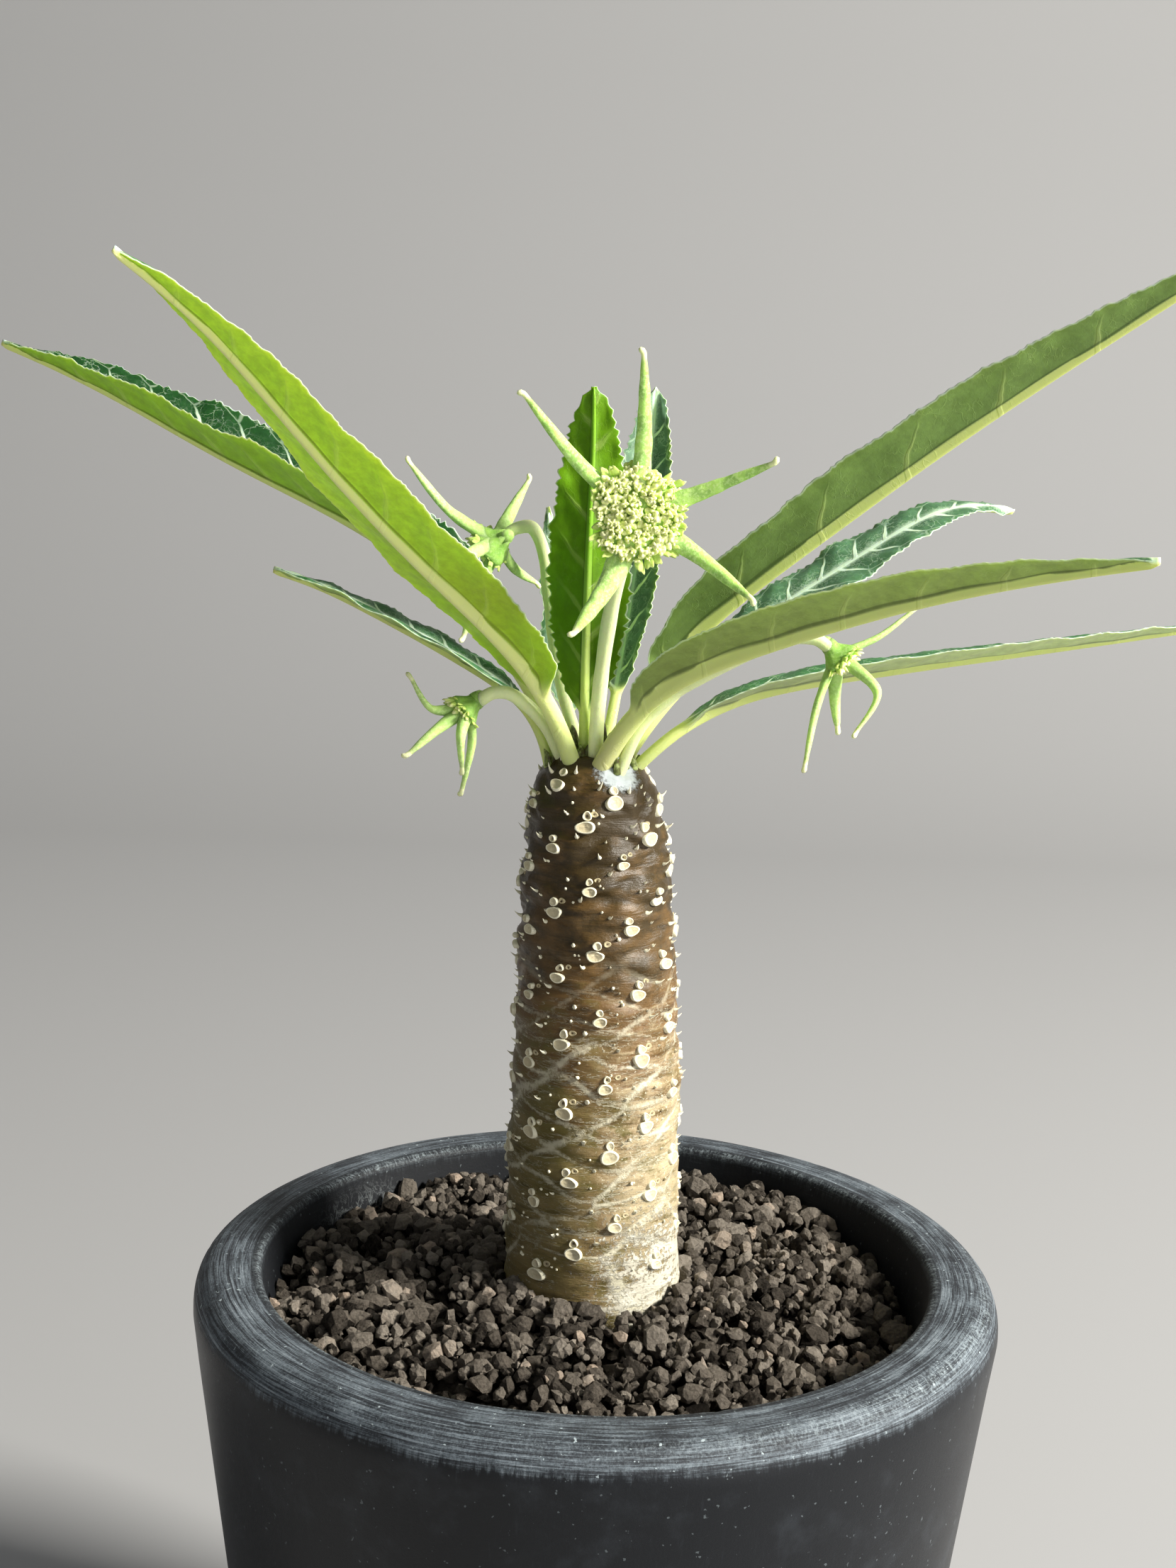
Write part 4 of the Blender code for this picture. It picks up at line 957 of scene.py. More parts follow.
def add_disc(shape, frame_at, across, tall, proud, pit, tone, draw, flat_top=0.0):
    """A low button on the bark: a raised rim round a shallow middle, or round a pit."""
    spot, out, side, up = frame_at
    sides = 20
    turns = 2 * pi * np.arange(sides) / sides
    wobble = 1 + 0.06 * np.sin(2 * turns + draw.uniform(0, 6)) + 0.06 * np.sin(3 * turns + draw.uniform(0, 6))
    profile = [(0.14, 0.05 if pit else 0.70), (0.42, 0.30 if pit else 0.74), (0.70, 0.80), (0.84, 0.98),
               (0.93, 0.92), (1.0, 0.45), (1.03, -0.6)]
    rows = []
    fields = []
    for reach, height in profile:
        x = across * reach * wobble * np.cos(turns)
        y = tall * reach * wobble * np.sin(turns)
        y = np.where(y > 0, y * (1 - flat_top), y)
        lift = proud * height * (1 + 0.15 * np.sin(turns * 2 + 1.0))
        rows.append(spot + x[:, None] * side + y[:, None] * up + lift[:, None] * out)
        fields.append(np.tile([reach, float(pit), tone], (sides, 1)))
    shape.add_rings(np.array(rows), cap_start=True, cap_end=False, disc=np.concatenate(fields))


def add_hook(shape, frame_at, length, thick, lean, draw):
    """A small horny hook that leaves the bark and bends up."""
    spot, out, side, up = frame_at
    sides = 6
    turns = 2 * pi * np.arange(sides) / sides
    rows = []
    for part in (-0.25, 0.15, 0.45, 0.75, 1.0):
        middle = spot + out * length * part + up * length * 0.55 * max(part, 0) ** 2 + side * lean * part
        radius = thick * (1 - 0.9 * max(part, 0.0)) * (1 + 0.1 * draw.uniform(-1, 1))
        rows.append(middle + radius * (np.cos(turns)[:, None] * side + np.sin(turns)[:, None] * up))
    shape.add_rings(np.array(rows), disc=np.tile([0.9, 0.0, 1.0], (len(rows) * sides, 1)))


def make_scars(settings):
    """Leaf scars with the bud scars above them, old flower scars, and the stipules' hooks."""
    draw = np.random.default_rng(41)
    scars = Shape()
    hooks = Shape()
    for z, turn in scar_places():
        size = settings.scar_radius / MM * draw.uniform(0.74, 1.14)
        add_disc(scars, on_trunk(z - 0.35, turn), size * draw.uniform(1.0, 1.14), size * draw.uniform(0.82, 0.98),
                 draw.uniform(0.26, 0.40), 0, draw.uniform(0.3, 1), draw, 0.30)
        lean = draw.uniform(-0.45, 0.35)
        bud_z = z + 0.7 * size + 0.1
        add_disc(scars, on_trunk(bud_z, turn + lean / 9.0), size * draw.uniform(0.46, 0.62), size * 0.52,
                 draw.uniform(0.26, 0.45), 1 if draw.uniform() < 0.45 else 0, draw.uniform(0.5, 1), draw)
        if draw.uniform() < 0.6:
            aside = (lean + draw.uniform(0.85, 1.15)) / 9.0
            add_disc(scars, on_trunk(bud_z + 0.2, turn + aside), size * 0.46, size * 0.34, 0.08, 1,
                     -0.3, draw)
        young = 0.5 + 0.5 * float(fade(np.array(z), 88.0, 118.0))
        for hand in (-1, 1):
            z_hook = z + 0.9 + draw.uniform(-0.5, 0.5)
            turn_hook = turn + hand * draw.uniform(2.2, 3.0) / 9.0
            add_hook(hooks, on_trunk(z_hook, turn_hook), draw.uniform(0.5, 1.05) * young,
                     draw.uniform(0.18, 0.30), draw.uniform(-0.4, 0.4), draw)
        for _ in range(3):
            z_dot = z + draw.uniform(-2.4, 2.4)
            turn_dot = turn + draw.uniform(1.4, 3.6) * draw.choice([-1, 1]) / 9.0
            add_hook(hooks, on_trunk(z_dot, turn_dot), draw.uniform(0.15, 0.45), draw.uniform(0.12, 0.22),
                     0.0, draw)
    finish = scar_finish(settings)
    scars.piece("leaf_scars", finish, None)
    hooks.piece("stipule_hooks", finish, None)


def make_crown(settings):
    """Young buds and dry scales between the leaf stalks."""
    draw = np.random.default_rng(43)
    look = Finish("bud_green", roughness=0.5, specular=0.3)
    tint = look.noise(look.place(), 1.1, 4.0, 0.6)
    look.set("Base Color", look.ramp(tint, [(0.38, (0.060, 0.048, 0.016)), (0.50, (0.130, 0.160, 0.040)),
                                            (0.64, (0.42, 0.50, 0.18))]))
    look.bump(tint, 0.08, 0.5)
    shape = Shape()
    buds = [(-4.3, -0.4, 3.0, 0.70), (-1.3, -0.3, 3.2, 0.66), (-0.5, 0.2, 2.2, 0.60)]
    for _ in range(44):
        turn = draw.uniform(0, 2 * pi)
        out = 5.2 * np.sqrt(draw.uniform(0.05, 1.0))
        buds.append((trunk_axis(TRUNK_SUMMIT) + out * cos(turn), out * sin(turn),
                     draw.uniform(0.6, 1.5), draw.uniform(0.3, 0.5)))
    for x, y, height, thick in buds:
        add_bud(shape, np.array([x, y, crown_height(x, y)]), height, thick, draw)
    shape.piece("crown_buds", look.material, None)


def add_bud(shape, foot, height, thick, draw):
    """A pointed bud, a little bent."""
    sides = 10
    turns = 2 * pi * np.arange(sides) / sides
    bend = draw.uniform(-0.5, 0.5, 2)
    rows = []
    for part in np.linspace(-0.3, 1.0, 12):
        width = thick * (1.0 - 0.25 * part) * np.sqrt(max(1.02 - max(part, 0) ** 2.2, 0.0))
        middle = foot + np.array([bend[0] * max(part, 0) ** 2, bend[1] * max(part, 0) ** 2, height * part])
        ring = np.stack([np.cos(turns) * width, np.sin(turns) * width, np.zeros(sides)], axis=-1)
        rows.append(middle + ring * (1 + 0.08 * np.sin(5 * turns)[:, None]))
    shape.add_rings(np.array(rows))


def leaf_track(row, stations):
    """Middle, side and upper normal of a leaf at stations along its length."""
    azimuth = radians(row["azimuth"])
    x, y = row["base"]
    length = row["length"]
    heading = np.array([cos(azimuth), sin(azimuth), 0.0])
    up = np.array([0.0, 0.0, 1.0])
    fine = np.linspace(-STALK_SINK, length, 1200)
    rise = np.radians(eased(row["rises"], np.clip(fine, 0, None) / length))
    tangents = np.cos(rise)[:, None] * heading + np.sin(rise)[:, None] * up
    steps = np.diff(fine)[:, None] * 0.5 * (tangents[1:] + tangents[:-1])
    start = np.array([x, y, crown_height(x, y)]) - tangents[0] * STALK_SINK
    line = start + np.concatenate([np.zeros((1, 3)), np.cumsum(steps, axis=0)])
    middle = np.stack([np.interp(stations, fine, line[:, i]) for i in range(3)], axis=-1)
    inward = unit(np.array([trunk_axis(TRUNK_SUMMIT) - x, -y])) * row.get("inward", 0.0)
    lift = crown_height(x + inward[0], y + inward[1]) - crown_height(x, y)
    middle += fade(stations, 0.6 * length, 0.0)[:, None] * np.array([*inward, lift])
    tangent = unit(np.stack([np.interp(stations, fine, tangents[:, i]) for i in range(3)], axis=-1))
    part = np.clip(stations, 0, None) / length
    roll = np.radians(row["roll"][0] + (row["roll"][1] - row["roll"][0]) * part)[:, None]
    side = np.array([-sin(azimuth), cos(azimuth), 0.0])
    normal = np.cross(tangent, side)
    turned = np.cos(roll) * side + np.sin(roll) * normal
    return middle, tangent, turned, np.cross(tangent, turned)


def blade_width(row, part):
    """Half the blade's width: round at its base, widest before the middle, narrowed to its tip."""
    part = np.clip(part, 0.0, 1.0)
    point = row.get("point", BLADE_POINT)
    widest = BLADE_ROUND / (BLADE_ROUND + point)
    peak = widest ** BLADE_ROUND * (1 - widest) ** point
    slimmer = 1 - row.get("slim", 0.0) * np.clip(part - widest + 0.1, 0.0, None)
    return row["width"] * slimmer * part ** BLADE_ROUND * (1 - part) ** point / peak


def leaf_finish(name, row, settings):
    """Blade of two colours with its midrib, side veins, fine net and pale toothed margin; painted shade darkens the
    underside towards the stalk and along the keel's crease.
    """
    look = Finish(name + "_skin", specular=0.25)
    along = look.field("blade", "X")
    across = look.field("blade", "Y")
    edge = abs(look.field("blade", "Z"))
    under = look.field("form", "Y")
    off = abs(across)
    on_rib = off / look.field("rib")
    flat = look.add("CombineXYZ", [(0, along), (1, across), (2, under * 9.0)])
    wander = look.noise(flat, 0.30, 2.0, 0.5)
    mottled = look.noise(flat, 0.8, 5.0, 0.65)
    fine = look.noise(flat, 3.0, 4.0, 0.7)
    shift = look.add("TexNoise", [("Vector", flat), ("Scale", 0.9), ("Detail", 3.0)], "Color")
    bent = look.add("VectorMath", [(0, flat), (1, look.add("VectorMath", [(0, shift), ("Scale", 2.2)], operation="SCALE"))])

    wave = look.maths("FRACT", look.field("form", "X") + wander.sway(1.8 / row["vein_pitch"]) + 0.5)
    gap = abs(wave - 0.5) * row["vein_pitch"]
    side_vein = (gap - 0.30 + edge * 0.24).rise(0.12, -0.06)
    branch = side_vein * edge.rise(0.92, 0.50)
    loop = abs(edge - 0.80 - gap * 0.11).rise(0.035, 0.01) * 0.30
    net = look.cells(bent, 0.62).rise(0.05, 0.01) * wander.rise(0.40, 0.62) * 0.30
    twigs = look.cells(bent, 1.3).rise(0.07, 0.02) * edge.rise(0.80, 0.1) * 0.34
    halo = (off + fine.sway(1.3)).rise(0.85, 0.2) * 0.60
    midrib = off.rise(0.40, 0.22)
    margin = edge.rise(0.955, 0.985)
    above = look.most(branch, loop, net, twigs, halo) * row["white"]
    above = look.most(above, midrib, margin * 0.85)
    deep = look.mix(mottled.rise(0.3, 0.7), row["upper"], shaded(row["upper"], 1.6))
    top = look.mix(above, deep, settings.vein_colour)

    foot = row.get("foot", settings.stalk_colour)
    rib_tint = row.get("rib", settings.keel_colour)
    if "rib" in row and "foot" in row:
        rib_tint = look.mix(along.rise(0.2 * row["length"], 0.62 * row["length"]), foot, rib_tint)
    keel = on_rib.rise(1.10, 0.92)
    # The crease beside the keel is darkened: painted shadow
    keel_crease_shade = abs(on_rib - 1.20).rise(0.22, 0.02)
    soft = look.mix(mottled.rise(0.25, 0.75), shaded(row["under"], 0.84), shaded(row["under"], 1.16))
    faint = look.most((gap - 0.42 + edge * 0.20).rise(0.30, -0.15) * edge.rise(0.95, 0.25), net * 0.7) * 0.42
    # The underside darkens towards the stalk: painted shade
    soft = look.mix(along.rise(row["length"] * 0.62, row["stalk"]) * 0.45, soft, shaded(row["under"], 0.42))
    soft = look.mix(faint, soft, look.mix(0.5, row["under"], settings.keel_colour))
    soft = look.mix(keel_crease_shade * 0.6, soft, shaded(row["under"], 0.35))
    soft = look.mix(margin * 0.6, soft, settings.vein_colour)
    blade = look.mix(under, top, look.mix(keel, soft, rib_tint))
    stem = look.mix(along.rise(9.0, -1.0), rib_tint, foot)
    look.set("Base Color", look.mix(look.field("form", "Z").rise(0.9, 0.15), blade, stem))
    look.set("Roughness", mottled * 0.2 + 0.38)
    look.bump(look.most(branch, net), 0.10, 0.5)
    look.bump(fine, 0.05, 0.5)
    look.glow_through(settings.glow, (0.9, 1.0, 0.25), 0.8)
    return look.material


def shaded(colour, factor):
    """A colour made darker or lighter."""
    return tuple(min(factor * part, 1.0) for part in colour)


def make_leaf(name, row, settings, seed):
    """Stalk, keel and folded blade with toothed waved margin and quilted veins, as one closed skin."""
    length = row["length"]
    stalk = row["stalk"]
    blade = length - stalk
    stations = np.concatenate([np.linspace(-0.8, stalk, 30)[:-1],
                               np.arange(stalk, length - 0.05, settings.leaf_step / MM)])
    middle, tangent, side, normal = leaf_track(row, stations)
    part = (stations - stalk) / blade
    lost, easing = KEEL_THINS
    keel = row["radius"] * (1.0 - lost * (np.clip(stations, 0, None) / length) ** easing)
    opened = fade(part, -0.01, BLADE_OPENS)
    wide = np.maximum(blade_width(row, part), 0.9 * keel * (1 - opened) + 0.28)
    ends = fade(stations, length, length - 1.2)
    wide = wide * (0.15 + 0.85 * ends)
    keel = keel * (0.35 + 0.65 * ends)

    spread = np.linspace(-1, 1, BLADE_COLUMNS)
    share_up = spread - 0.12 * np.sin(2 * pi * spread)
    share_low = share_up[::-1][1:-1]
    share = np.concatenate([share_up, share_low])
    under = np.concatenate([np.zeros(BLADE_COLUMNS), np.ones(BLADE_COLUMNS - 2)])
    hand = np.sign(share)
    edge = np.abs(share)

    draw = np.random.default_rng(seed)
    shift = draw.uniform(0, 6, 4)
    pitch = settings.tooth_pitch / MM
    teeth = np.zeros((len(stations), len(share)))
    for way, start in ((-1, shift[0]), (1, shift[1])):
        beat = stations + 0.35 * pitch * ripple(stations[:, None], 5.0, seed + 7 + way) + start
        saw = (beat / pitch) % 1.0
        tooth = np.where(saw < 0.68, saw / 0.68, (1 - saw) / 0.32)
        size = 1 + 0.4 * ripple(stations[:, None], 3.0, seed + 11 + way)
        teeth += (hand == way)[None, :] * (tooth * size)[:, None]
    teeth *= row.get("teeth", 1.0) * settings.tooth_depth / MM * fade(edge, 0.80, 1.0)[None, :] * fade(part, 0.0, 0.08)[:, None]
    teeth *= np.minimum(1.0, wide / row["width"] + 0.35)[:, None]

    x = hand * (edge * wide[:, None] + teeth)
    sway = row.get("wave", 1.0) * WAVE_HEIGHT * opened * np.sin(2 * pi * WAVES * np.clip(part, 0, None)) * wide / row["width"]
    phase = (stations[:, None] - 0.75 * np.abs(x) - 0.05 * x ** 2) / row["vein_pitch"] + 0.5 * (hand > 0)
    quilt = 0.5 - 0.5 * np.cos(2 * pi * phase)
    puff = settings.quilt / MM * quilt * fade(edge, 0.02, 0.35) * fade(edge, 1.0, 0.7) * opened[:, None]
    frill = 0.16 * (0.4 + 0.6 * row.get("wave", 1.0)) * ripple(np.stack([stations[:, None] + 0 * x, 40.0 * hand + 0 * x], axis=-1), 3.4, seed + 3)
    fold = np.radians(row["fold"]) * opened
    rising = fold * (1 - row.get("flatter", 0.0) * fade(part, 0.30, 0.65))
    soft = np.sqrt(x ** 2 + 0.35 ** 2) - 0.35
    height = np.sin(rising)[:, None] * soft + hand * sway[:, None] * edge ** 2 + puff + frill * edge ** 3 * opened[:, None]
    flat_x = x * np.cos(fold)[:, None]

    thick = settings.blade_thickness / MM * np.sqrt(np.clip(1 - edge ** 10, 0.0, 1.0)) * (1 - 0.35 * edge)
    ridge = 0.10 * np.exp(-(x / 0.45) ** 2)
    inside = np.clip(1 - (np.abs(x) / (0.92 * keel[:, None])) ** 2.4, 0.0, 1.0) ** (1 / 2.4)
    drop = thick + (keel[:, None] - 0.1) * inside
    blade_z = height + np.where(under > 0, -drop + 0.5 * thick, 0.5 * thick + ridge)
    turn = np.where(under > 0, -np.arccos(np.clip(share, -1, 1)), np.arccos(np.clip(share, -1, 1)))
    round_x = keel[:, None] * 1.02 * np.cos(turn)
    round_z = keel[:, None] * (np.where(under > 0, 1.02, 0.62) * np.sin(turn) - 0.06)
    grow = opened[:, None]
    local_x = round_x + (flat_x - round_x) * grow
    local_z = round_z + (blade_z - round_z) * grow
    points = middle[:, None] + local_x[..., None] * side[:, None] + local_z[..., None] * normal[:, None]

    def everywhere(values):
        return np.broadcast_to(values, x.shape)

    fields = dict(
        blade=np.stack([everywhere(stations[:, None]), x, everywhere(share)], axis=-1).reshape(-1, 3),
        form=np.stack([phase, everywhere(under), everywhere(grow)], axis=-1).reshape(-1, 3),
        rib=everywhere(keel[:, None]).ravel())
    shape = Shape()
    shape.add_rings(points[:, ::-1], **{key: value.reshape(len(stations), len(share), -1)[:, ::-1].reshape(value.shape)
                                       for key, value in fields.items()})
    return shape.piece(name + "_blade", leaf_finish(name, row, settings), name)


def flower_finish(settings):
    """Light green skin of stalk, cup and arms, finely warty."""
    look = Finish("flower_skin", roughness=0.5, specular=0.25)
    soft = look.noise(look.place(), 0.5, 4.0, 0.6)
    warts = look.noise(look.place(), 3.2, 4.0, 0.65)
    colour = look.mix(soft.rise(0.42, 0.58), settings.green_colour, settings.light_colour)
    colour = look.mix(warts.rise(0.48, 0.58) * 0.55, colour, settings.wart_colour)
    colour = look.mix(look.field("tint", "Y"), colour, (0.26, 0.24, 0.09))
    colour = look.mix(look.field("tint", "Z"), colour, (0.17, 0.36, 0.045))
    look.set("Base Color", look.mix(look.field("tint", "X"), colour, settings.stem_colour))
    look.bump(warts, 0.10, 0.6)
    look.glow_through(0.4, (0.8, 1.0, 0.3), 0.8)
    return look.material


def floret_finish(settings):
    """Cream-green florets, deeper green between them, partly their own green and partly painted shade."""
    look = Finish("floret_cream", roughness=0.6, specular=0.3)
    grain = look.noise(look.place(), 4.0, 4.0, 0.6)
    tip = look.field("tip") + grain.sway(0.5)
    look.set("Base Color", look.ramp(tip, [(0.02, settings.gap_green_and_shade_colour), (0.35, settings.floret_colour),
                                           (0.80, settings.floret_tip_colour)]))
    look.bump(grain, 0.06, 0.5)
    look.glow_through(0.4, (0.9, 1.0, 0.4), 0.6)
    return look.material


def tube_rings(points, radii, sides, flatten=None, flat_way=None):
    """Rings of a tube along points, without twist, squeezed along one way if asked."""
    tangents = unit(np.gradient(points, axis=0))
    helper = np.array([0.0, 0.0, 1.0]) if abs(tangents[0][2]) < 0.9 else np.array([1.0, 0.0, 0.0])
    side = unit(np.cross(tangents[0], helper))
    turns = 2 * pi * np.arange(sides) / sides
    rings = []
    for i, (point, tangent) in enumerate(zip(points, tangents)):
        side = unit(side - tangent * side.dot(tangent))
        other = np.cross(tangent, side)
        ring = (np.cos(turns)[:, None] * side + np.sin(turns)[:, None] * other) * radii[i]
        if flatten is not None:
            ring -= (ring @ flat_way)[:, None] * flat_way * flatten[i]
        rings.append(point + ring)
    return np.array(rings)


def head_frame(row):
    """Centre, facing and two directions in the face of a flower head."""
    facing = unit(np.array(row["facing"]))
    spin = Vector(facing).to_track_quat("Z", "Y").to_matrix()
    return np.array(row["centre"]), facing, np.array(spin.col[0]), np.array(spin.col[1])


def head_outline(row, turns):
    """How strongly an arm pulls the cup's outline out at each turn, 0 to 1."""
    centre, _, u, v = head_frame(row)
    pull = np.zeros_like(turns)
    for _, tip, _ in row["arms"]:
        way = np.array(tip) - centre
        pull = np.maximum(pull, np.clip(np.cos(turns - np.arctan2(way @ v, way @ u)), 0, 1))
    return pull


def make_flower(name, row, settings, seed):
    """Stalk, ribbed cup, hooked arms, and a face of florets with a lobed fringe."""
    draw = np.random.default_rng(seed)
    centre, facing, u, v = head_frame(row)
    size = row["radius"]
    face = size * row["cup"]
    skin = Shape()
    add_flower_stalk(skin, row, centre, facing, seed)
    add_cup(skin, row, centre, facing, u, v)
    for bend, tip, stout in row["arms"]:
        add_arm(skin, centre, facing, np.array(bend), np.array(tip), stout, size, draw, seed)
    skin.piece(name + "_skin", shared_finish(flower_finish, settings), name)

    florets = Shape()
    sides = 96
    turns = 2 * pi * np.arange(sides) / sides
    outline = face * (0.84 + 0.22 * head_outline(row, turns) ** 4)
    rim_points = np.stack([np.cos(turns), np.sin(turns)], axis=-1) * face
    outline = outline * (1 + 0.06 * ripple(rim_points, 3.0, seed + 2))
    for i in range(row["florets"]):
        turn = i * GOLDEN_TURN
        out = np.sqrt((i + 0.5) / row["florets"])
        at = np.interp(turn % (2 * pi), turns, outline, period=2 * pi) * out
        x = at * cos(turn) + draw.normal(0, 0.10)
        y = at * sin(turn) + draw.normal(0, 0.10)
        dome = 0.40 * face / LARGEST_HEAD * (1 - out ** 2) + 0.05
        foot = centre + x * u + y * v + dome * facing
        lean = 0.5 * out ** 2 * (cos(turn) * u + sin(turn) * v)
        add_floret(florets, foot, unit(facing + lean), u, v, settings.floret_size / MM * draw.uniform(0.65, 1.35),
                   draw.uniform(0.20, 0.90), draw)
    lobes = int(9.0 * face)
    for i in range(lobes):
        turn = 2 * pi * (i + draw.uniform(-0.25, 0.25)) / lobes
        at = np.interp(turn % (2 * pi), turns, outline, period=2 * pi)
        way = cos(turn) * u + sin(turn) * v
        add_lobe(florets, centre + way * at * 0.93 - facing * 0.25, way, facing, min(1.0, 0.3 + face / 6), draw)
    florets.piece(name + "_florets", shared_finish(floret_finish, settings), None)


def add_flower_stalk(skin, row, centre, facing, seed):
    """The bent stalk, sunk into the crown and widening into the cup."""
    points = [np.array(p) for p in row["stalk"]]
    below = points[0] - unit(points[1] - points[0]) * STALK_SINK
    path = [below, *points, centre - facing * FLOWER_DEPTH, centre - facing * 0.7 * FLOWER_DEPTH]
    steps = 14 * len(path)
    line = eased(np.array(path), np.linspace(0, 1, steps))[int(0.7 * steps / len(path)):]
    order = np.arange(len(line))
    swell = fade(order, len(line) - 26, len(line) - 4)
    radii = row["stalk_radius"] * (1 + 0.35 * swell + 0.05 * ripple(line, 4.0, seed + 1))
    stem = 1 - fade(order, len(line) * 0.6, len(line) - 6)
    deep = (1 - stem) * (row["radius"] < SMALL_HEAD) * DEEP_GREEN
    tint = np.repeat(np.stack([0.85 * stem, 0 * stem, deep], axis=-1), 20, axis=0)
    skin.add_rings(tube_rings(line, radii, 20), tint=tint)


def add_cup(skin, row, centre, facing, u, v):
    """The cup: a funnel with a rib to each arm, closed by a shallow dish that carries the florets."""
    sides = 96
    turns = 2 * pi * np.arange(sides) / sides
    pull = head_outline(row, turns)
    spokes = np.cos(turns)[:, None] * u + np.sin(turns)[:, None] * v
    size = row["radius"] * row["cup"]
    neck = 1.15 * row["stalk_radius"]
    section = [(0.02, 0.30, 0.0), (0.45, 0.26, 0.0), (0.80, 0.12, 0.05), (0.96, 0.0, 0.1), (1.0, -0.22, 0.2),
               (0.92, -0.55, 0.35), (0.72, -0.95, 0.6), (0.52, -1.40, 0.8), (0.36, -1.95, 0.9), (0.28, -2.6, 1.0)]
    rings = []
    for reach, rise, ribbed in section:
        outline = size * (0.84 + 0.22 * pull ** 4) * (1 - ribbed) + size * (0.50 + 0.80 * pull ** 3) * ribbed
        radius = np.maximum(outline * reach, neck if rise < -0.6 else 0.0)
        lift = rise * size / LARGEST_HEAD if rise > 0 else rise
        rings.append(centre + radius[:, None] * spokes + lift * facing)
    rings = np.array(rings)
    deep = DEEP_GREEN if row["radius"] < SMALL_HEAD else 0.0
    skin.add_rings(rings, tint=np.tile([0.0, 0.0, deep], (rings.shape[0] * sides, 1)))


def add_arm(skin, centre, facing, bend, tip, stout, size, draw, seed):
    """A fleshy arm, flat against the face, that narrows to a pale hooked tip."""
    scale = (1.0 + 0.28 * (size / LARGEST_HEAD - 1.0)) * stout
    root = centre - facing * ARM_ROOT + (bend - centre) * 0.10
    line = eased(np.array([root, bend, tip]), np.linspace(0, 1, 40))
    last = unit(line[-1] - line[-2])
    aside = unit(np.cross(last, facing)) * draw.choice([-1, 1])
    hook = [(0.25, 0.04), (0.45, 0.16), (0.55, 0.36), (0.52, 0.52)]
    line = np.concatenate([line, [tip + last * a + aside * b for a, b in hook]])
    part = np.clip(np.linspace(0, 1.1, len(line)), 0, 1)
    radii = scale * ARM_RADIUS * (1.30 - 0.82 * part - 0.22 * part ** 4)
    radii = np.maximum(radii * (1 + 0.05 * ripple(line, 1.8, seed + 5)), ARM_TIP_RADIUS)
    radii[-4:] = ARM_TIP_RADIUS * np.array([1.05, 1.15, 1.0, 0.45])
    sides = 18
    paler = 0.22 if stout > 1.2 else 0.06
    pale = fade(part, 0.93, 0.99) * 0.9 + paler * (1 - part) + (0.35 * part if size < SMALL_HEAD else 0.0)
    deep = (1 - fade(part, 0.1, 0.7)) * (size < SMALL_HEAD) * DEEP_GREEN
    brown = 0.30 * fade(part, 0.78, 0.92) * fade(part, 1.0, 0.94)
    tint = np.repeat(np.stack([np.minimum(pale, 1.0), brown, deep], axis=-1), sides, axis=0)
    skin.add_rings(tube_rings(line, radii, sides, 0.45 * (1 - 0.6 * part), facing), tint=tint)


def add_lobe(shape, foot, way, facing, size, draw):
    """A thin flap of the fringe with a ragged tip."""
    sides = 14
    turns = 2 * pi * np.arange(sides) / sides
    across = unit(np.cross(facing, way) + draw.uniform(-0.5, 0.5) * facing)
    along = unit(way + draw.uniform(-0.1, 1.0) * facing + draw.uniform(-0.4, 0.4) * across)
    flat = np.cross(along, across)
    length = draw.uniform(0.6, 1.5) * size
    wide = draw.uniform(0.30, 0.62) * size
    jag = np.interp(np.cos(turns), np.linspace(-1, 1, 5), draw.uniform(-0.35, 0.35, 5))
    rows = []
    tips = []
    for part, share in ((-0.3, 0.6), (0.2, 0.8), (0.6, 1.0), (0.9, 0.9), (1.0, 0.65)):
        ahead = length * (part + jag * max(part, 0.0) ** 2)
        rows.append(foot + ahead[:, None] * along + np.cos(turns)[:, None] * across * wide * share
                    + np.sin(turns)[:, None] * flat * 0.10 * share)
        tips.append(np.full(sides, 0.22 * max(part, 0.0)))
    shape.add_rings(np.array(rows), tip=np.concatenate(tips))


FINISHES = {}


def shared_finish(maker, settings):
    """A finish that several pieces share, made once."""
    if maker.__name__ not in FINISHES:
        FINISHES[maker.__name__] = maker(settings)
    return FINISHES[maker.__name__]


def add_floret(shape, foot, way, u, v, width, height, draw):
    """One floret: a stout column whose top parts into small pointed lobes round a pit."""
    sides = 12
    turns = 2 * pi * np.arange(sides) / sides
    spokes = np.cos(turns)[:, None] * u + np.sin(turns)[:, None] * v
    way = unit(way + draw.normal(0, 0.22) * u + draw.normal(0, 0.22) * v)
    parted = (0.5 + 0.5 * np.cos(draw.integers(2, 5) * turns + draw.uniform(0, 6))) ** 1.5
    rows = []
    tips = []
    for reach, rise, split in ((0.62, -0.6, 0.0), (0.72, 0.1, 0.1), (0.95, 0.55, 0.35), (1.05, 0.95, 0.9),
                               (0.80, 1.20, 1.0), (0.40, 1.05, 0.4), (0.12, 0.85, 0.0)):
        radius = 0.5 * width * reach * (1 - 0.55 * split * (1 - parted))
        lift = height * rise * (1 - 0.50 * split * (1 - parted))
        rows.append(foot + radius[:, None] * spokes + lift[:, None] * way)
        tips.append(np.full(sides, np.clip(rise, 0, 1)) * (0.55 + 0.45 * parted))
    shape.add_rings(np.array(rows), tip=np.array(tips).ravel())


def add_area_light(name, place, aim, size, power, colour):
    """A square soft light that looks at a point; sizes in metres."""
    lamp = bpy.data.lights.new(name, "AREA")
    lamp.shape = "SQUARE"
    lamp.size = size
    lamp.energy = power
    lamp.color = colour
    made = bpy.data.objects.new(name, lamp)
    made.location = place
    made.rotation_euler = (Vector(aim) - Vector(place)).to_track_quat("-Z", "Y").to_euler()
    bpy.context.scene.collection.objects.link(made)
    return made


